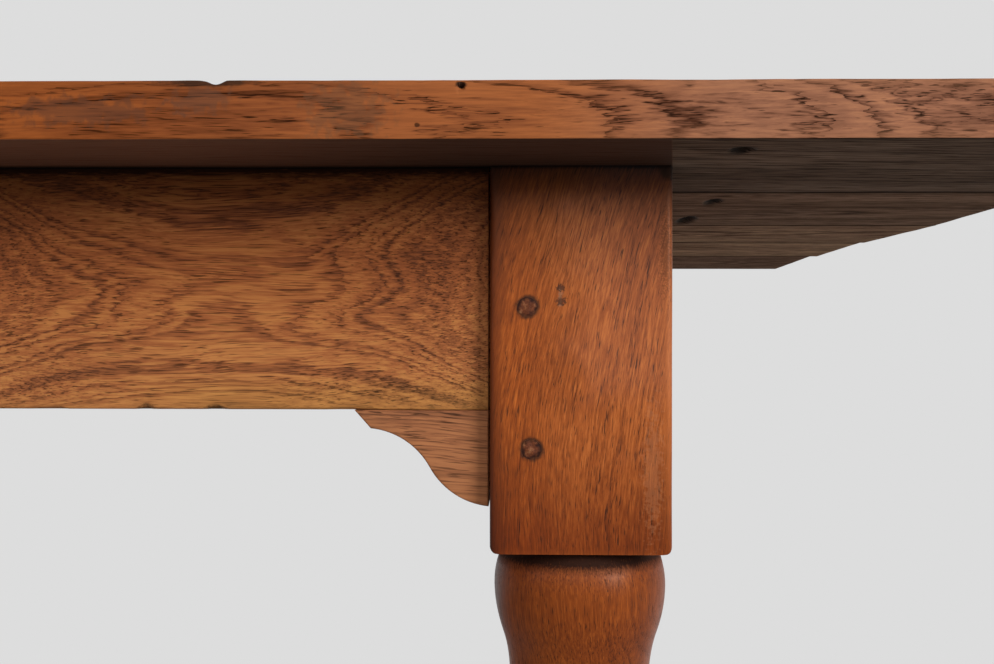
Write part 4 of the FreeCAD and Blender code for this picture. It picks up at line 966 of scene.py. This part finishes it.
# Matt paper: no gloss, pale to the camera, and greyer to the light that it throws back at the table
paper = bpy.data.materials.new("matt_grey_paper")
paper_tree = cleared(paper)
floor_at = add(paper_tree, "TexCoord", out="Object")
table_share = add(paper_tree, "VectorMath", {0: floor_at, 1: (1 / SHADOW_REACH[0], 1 / SHADOW_REACH[1], 0)},
                  operation="MULTIPLY")
from_table = add(paper_tree, "VectorMath", {0: table_share}, out="Value", operation="LENGTH")
beyond = add(paper_tree, "MapRange", {0: from_table, 1: 0.75, 2: 1.05, 3: 0.0, 4: 1.0},
             interpolation_type="SMOOTHSTEP")
rays, seen = backdrop_rays(paper_tree)
pale = add(paper_tree, "MapRange", {0: beyond, 1: 0.0, 2: 1.0, 3: 0.5, 4: 1.0})
direct = add(paper_tree, "Math", {0: rays["Is Camera Ray"], 1: pale}, operation="MULTIPLY")
plain = add(paper_tree, "Math", {0: seen, 1: beyond}, operation="MULTIPLY")
plain = add(paper_tree, "Math", {0: plain, 1: direct}, operation="MAXIMUM")
tint = add(paper_tree, "Mix", {0: seen, 6: linear("#9c9c9c"), 7: linear("#d8d8d8")}, out=2,
           data_type="RGBA")
matt = add(paper_tree, "BsdfDiffuse", {"Color": tint})
glow = add(paper_tree, "Emission", {"Color": linear(PAPER), "Strength": 1.0})
paper_surface = add(paper_tree, "MixShader", {0: plain, 1: matt, 2: glow})
add(paper_tree, "OutputMaterial", {"Surface": paper_surface})
floor_mesh.materials.append(paper)

world = bpy.data.worlds.new("studio")
bpy.context.scene.world = world
air = cleared(world)
_, seen = backdrop_rays(air)
backdrop = add(air, "Background", {"Color": linear(PAPER), "Strength": 1.0})
bounce = add(air, "Background", {"Color": linear("#ffffff"), "Strength": 0.05})
sky = add(air, "MixShader", {0: seen, 1: bounce, 2: backdrop})
add(air, "OutputWorld", {"Surface": sky})

# Lamps: a large soft box before the table and above the camera, a tall narrow one on either side of it, and
# wide ones behind the table and off its left end for the sides that the camera does not see.
# The top's overhang shades the rails and the heads of the legs from all of them.
SEEN_CORNER, BACK_RAIL = Vector((0.85, -0.4, 0.65)), Vector((-0.2, 0.4, 0.5))
LEFT_END = Vector((-0.95, 0, 0.5))
# What a lamp is aimed at, degrees aside and above with its distance, its size and its watts
for name, aim, way, size, power in (("front_box", SEEN_CORNER, (-5, 25, 2.6), (2.2, 1.3), 22),
                                    ("right_box", SEEN_CORNER, (48, 21, 2.2), (0.85, 1.1), 49),
                                    ("left_box", SEEN_CORNER, (-57, 24, 2.2), (0.5, 1.1), 8),
                                    ("back_box", BACK_RAIL, (180, 32, 3.2), (2.6, 1.2), 42),
                                    ("left_end_box", LEFT_END, (-96, 27, 2.6), (1.4, 1.2), 26)):
    aside, above = radians(way[0]), radians(way[1])
    lamp = bpy.data.lights.new(name, "AREA")
    lamp.shape, lamp.size, lamp.size_y, lamp.energy = "RECTANGLE", size[0], size[1], power
    box = shown(name, lamp)
    towards = Vector((sin(aside) * cos(above), -cos(aside) * cos(above), sin(above)))
    box.location = aim + towards * way[2]
    box.rotation_mode = "QUATERNION"
    box.rotation_quaternion = (-towards).to_track_quat("-Z", "Y")

# Camera: just under the level of the top, close before the right front leg, looking straight at the side.
# Its place, angles and lens follow from straight edges of the table.
CAMERA_AT = Vector((0.8817, -0.9582, 0.6586))
YAW, PITCH, ROLL = (radians(angle) for angle in (1.14, 0.15, 0.10))
ahead = Vector((-sin(YAW) * cos(PITCH), cos(YAW) * cos(PITCH), sin(PITCH)))
right = Vector((cos(YAW), sin(YAW), 0))
up = right.cross(ahead)
tilted_right = right * cos(ROLL) + up * sin(ROLL)
tilted_up = up * cos(ROLL) - right * sin(ROLL)
view = bpy.data.cameras.new("camera")
view.sensor_fit, view.sensor_width, view.lens = "HORIZONTAL", 36, 40.18
view.clip_start = 0.01
camera = shown("camera", view)
camera.matrix_world = Matrix((tilted_right, tilted_up, -ahead)).transposed().to_4x4()
camera.location = CAMERA_AT
bpy.context.scene.camera = camera
bpy.context.scene.view_settings.view_transform = "Standard"
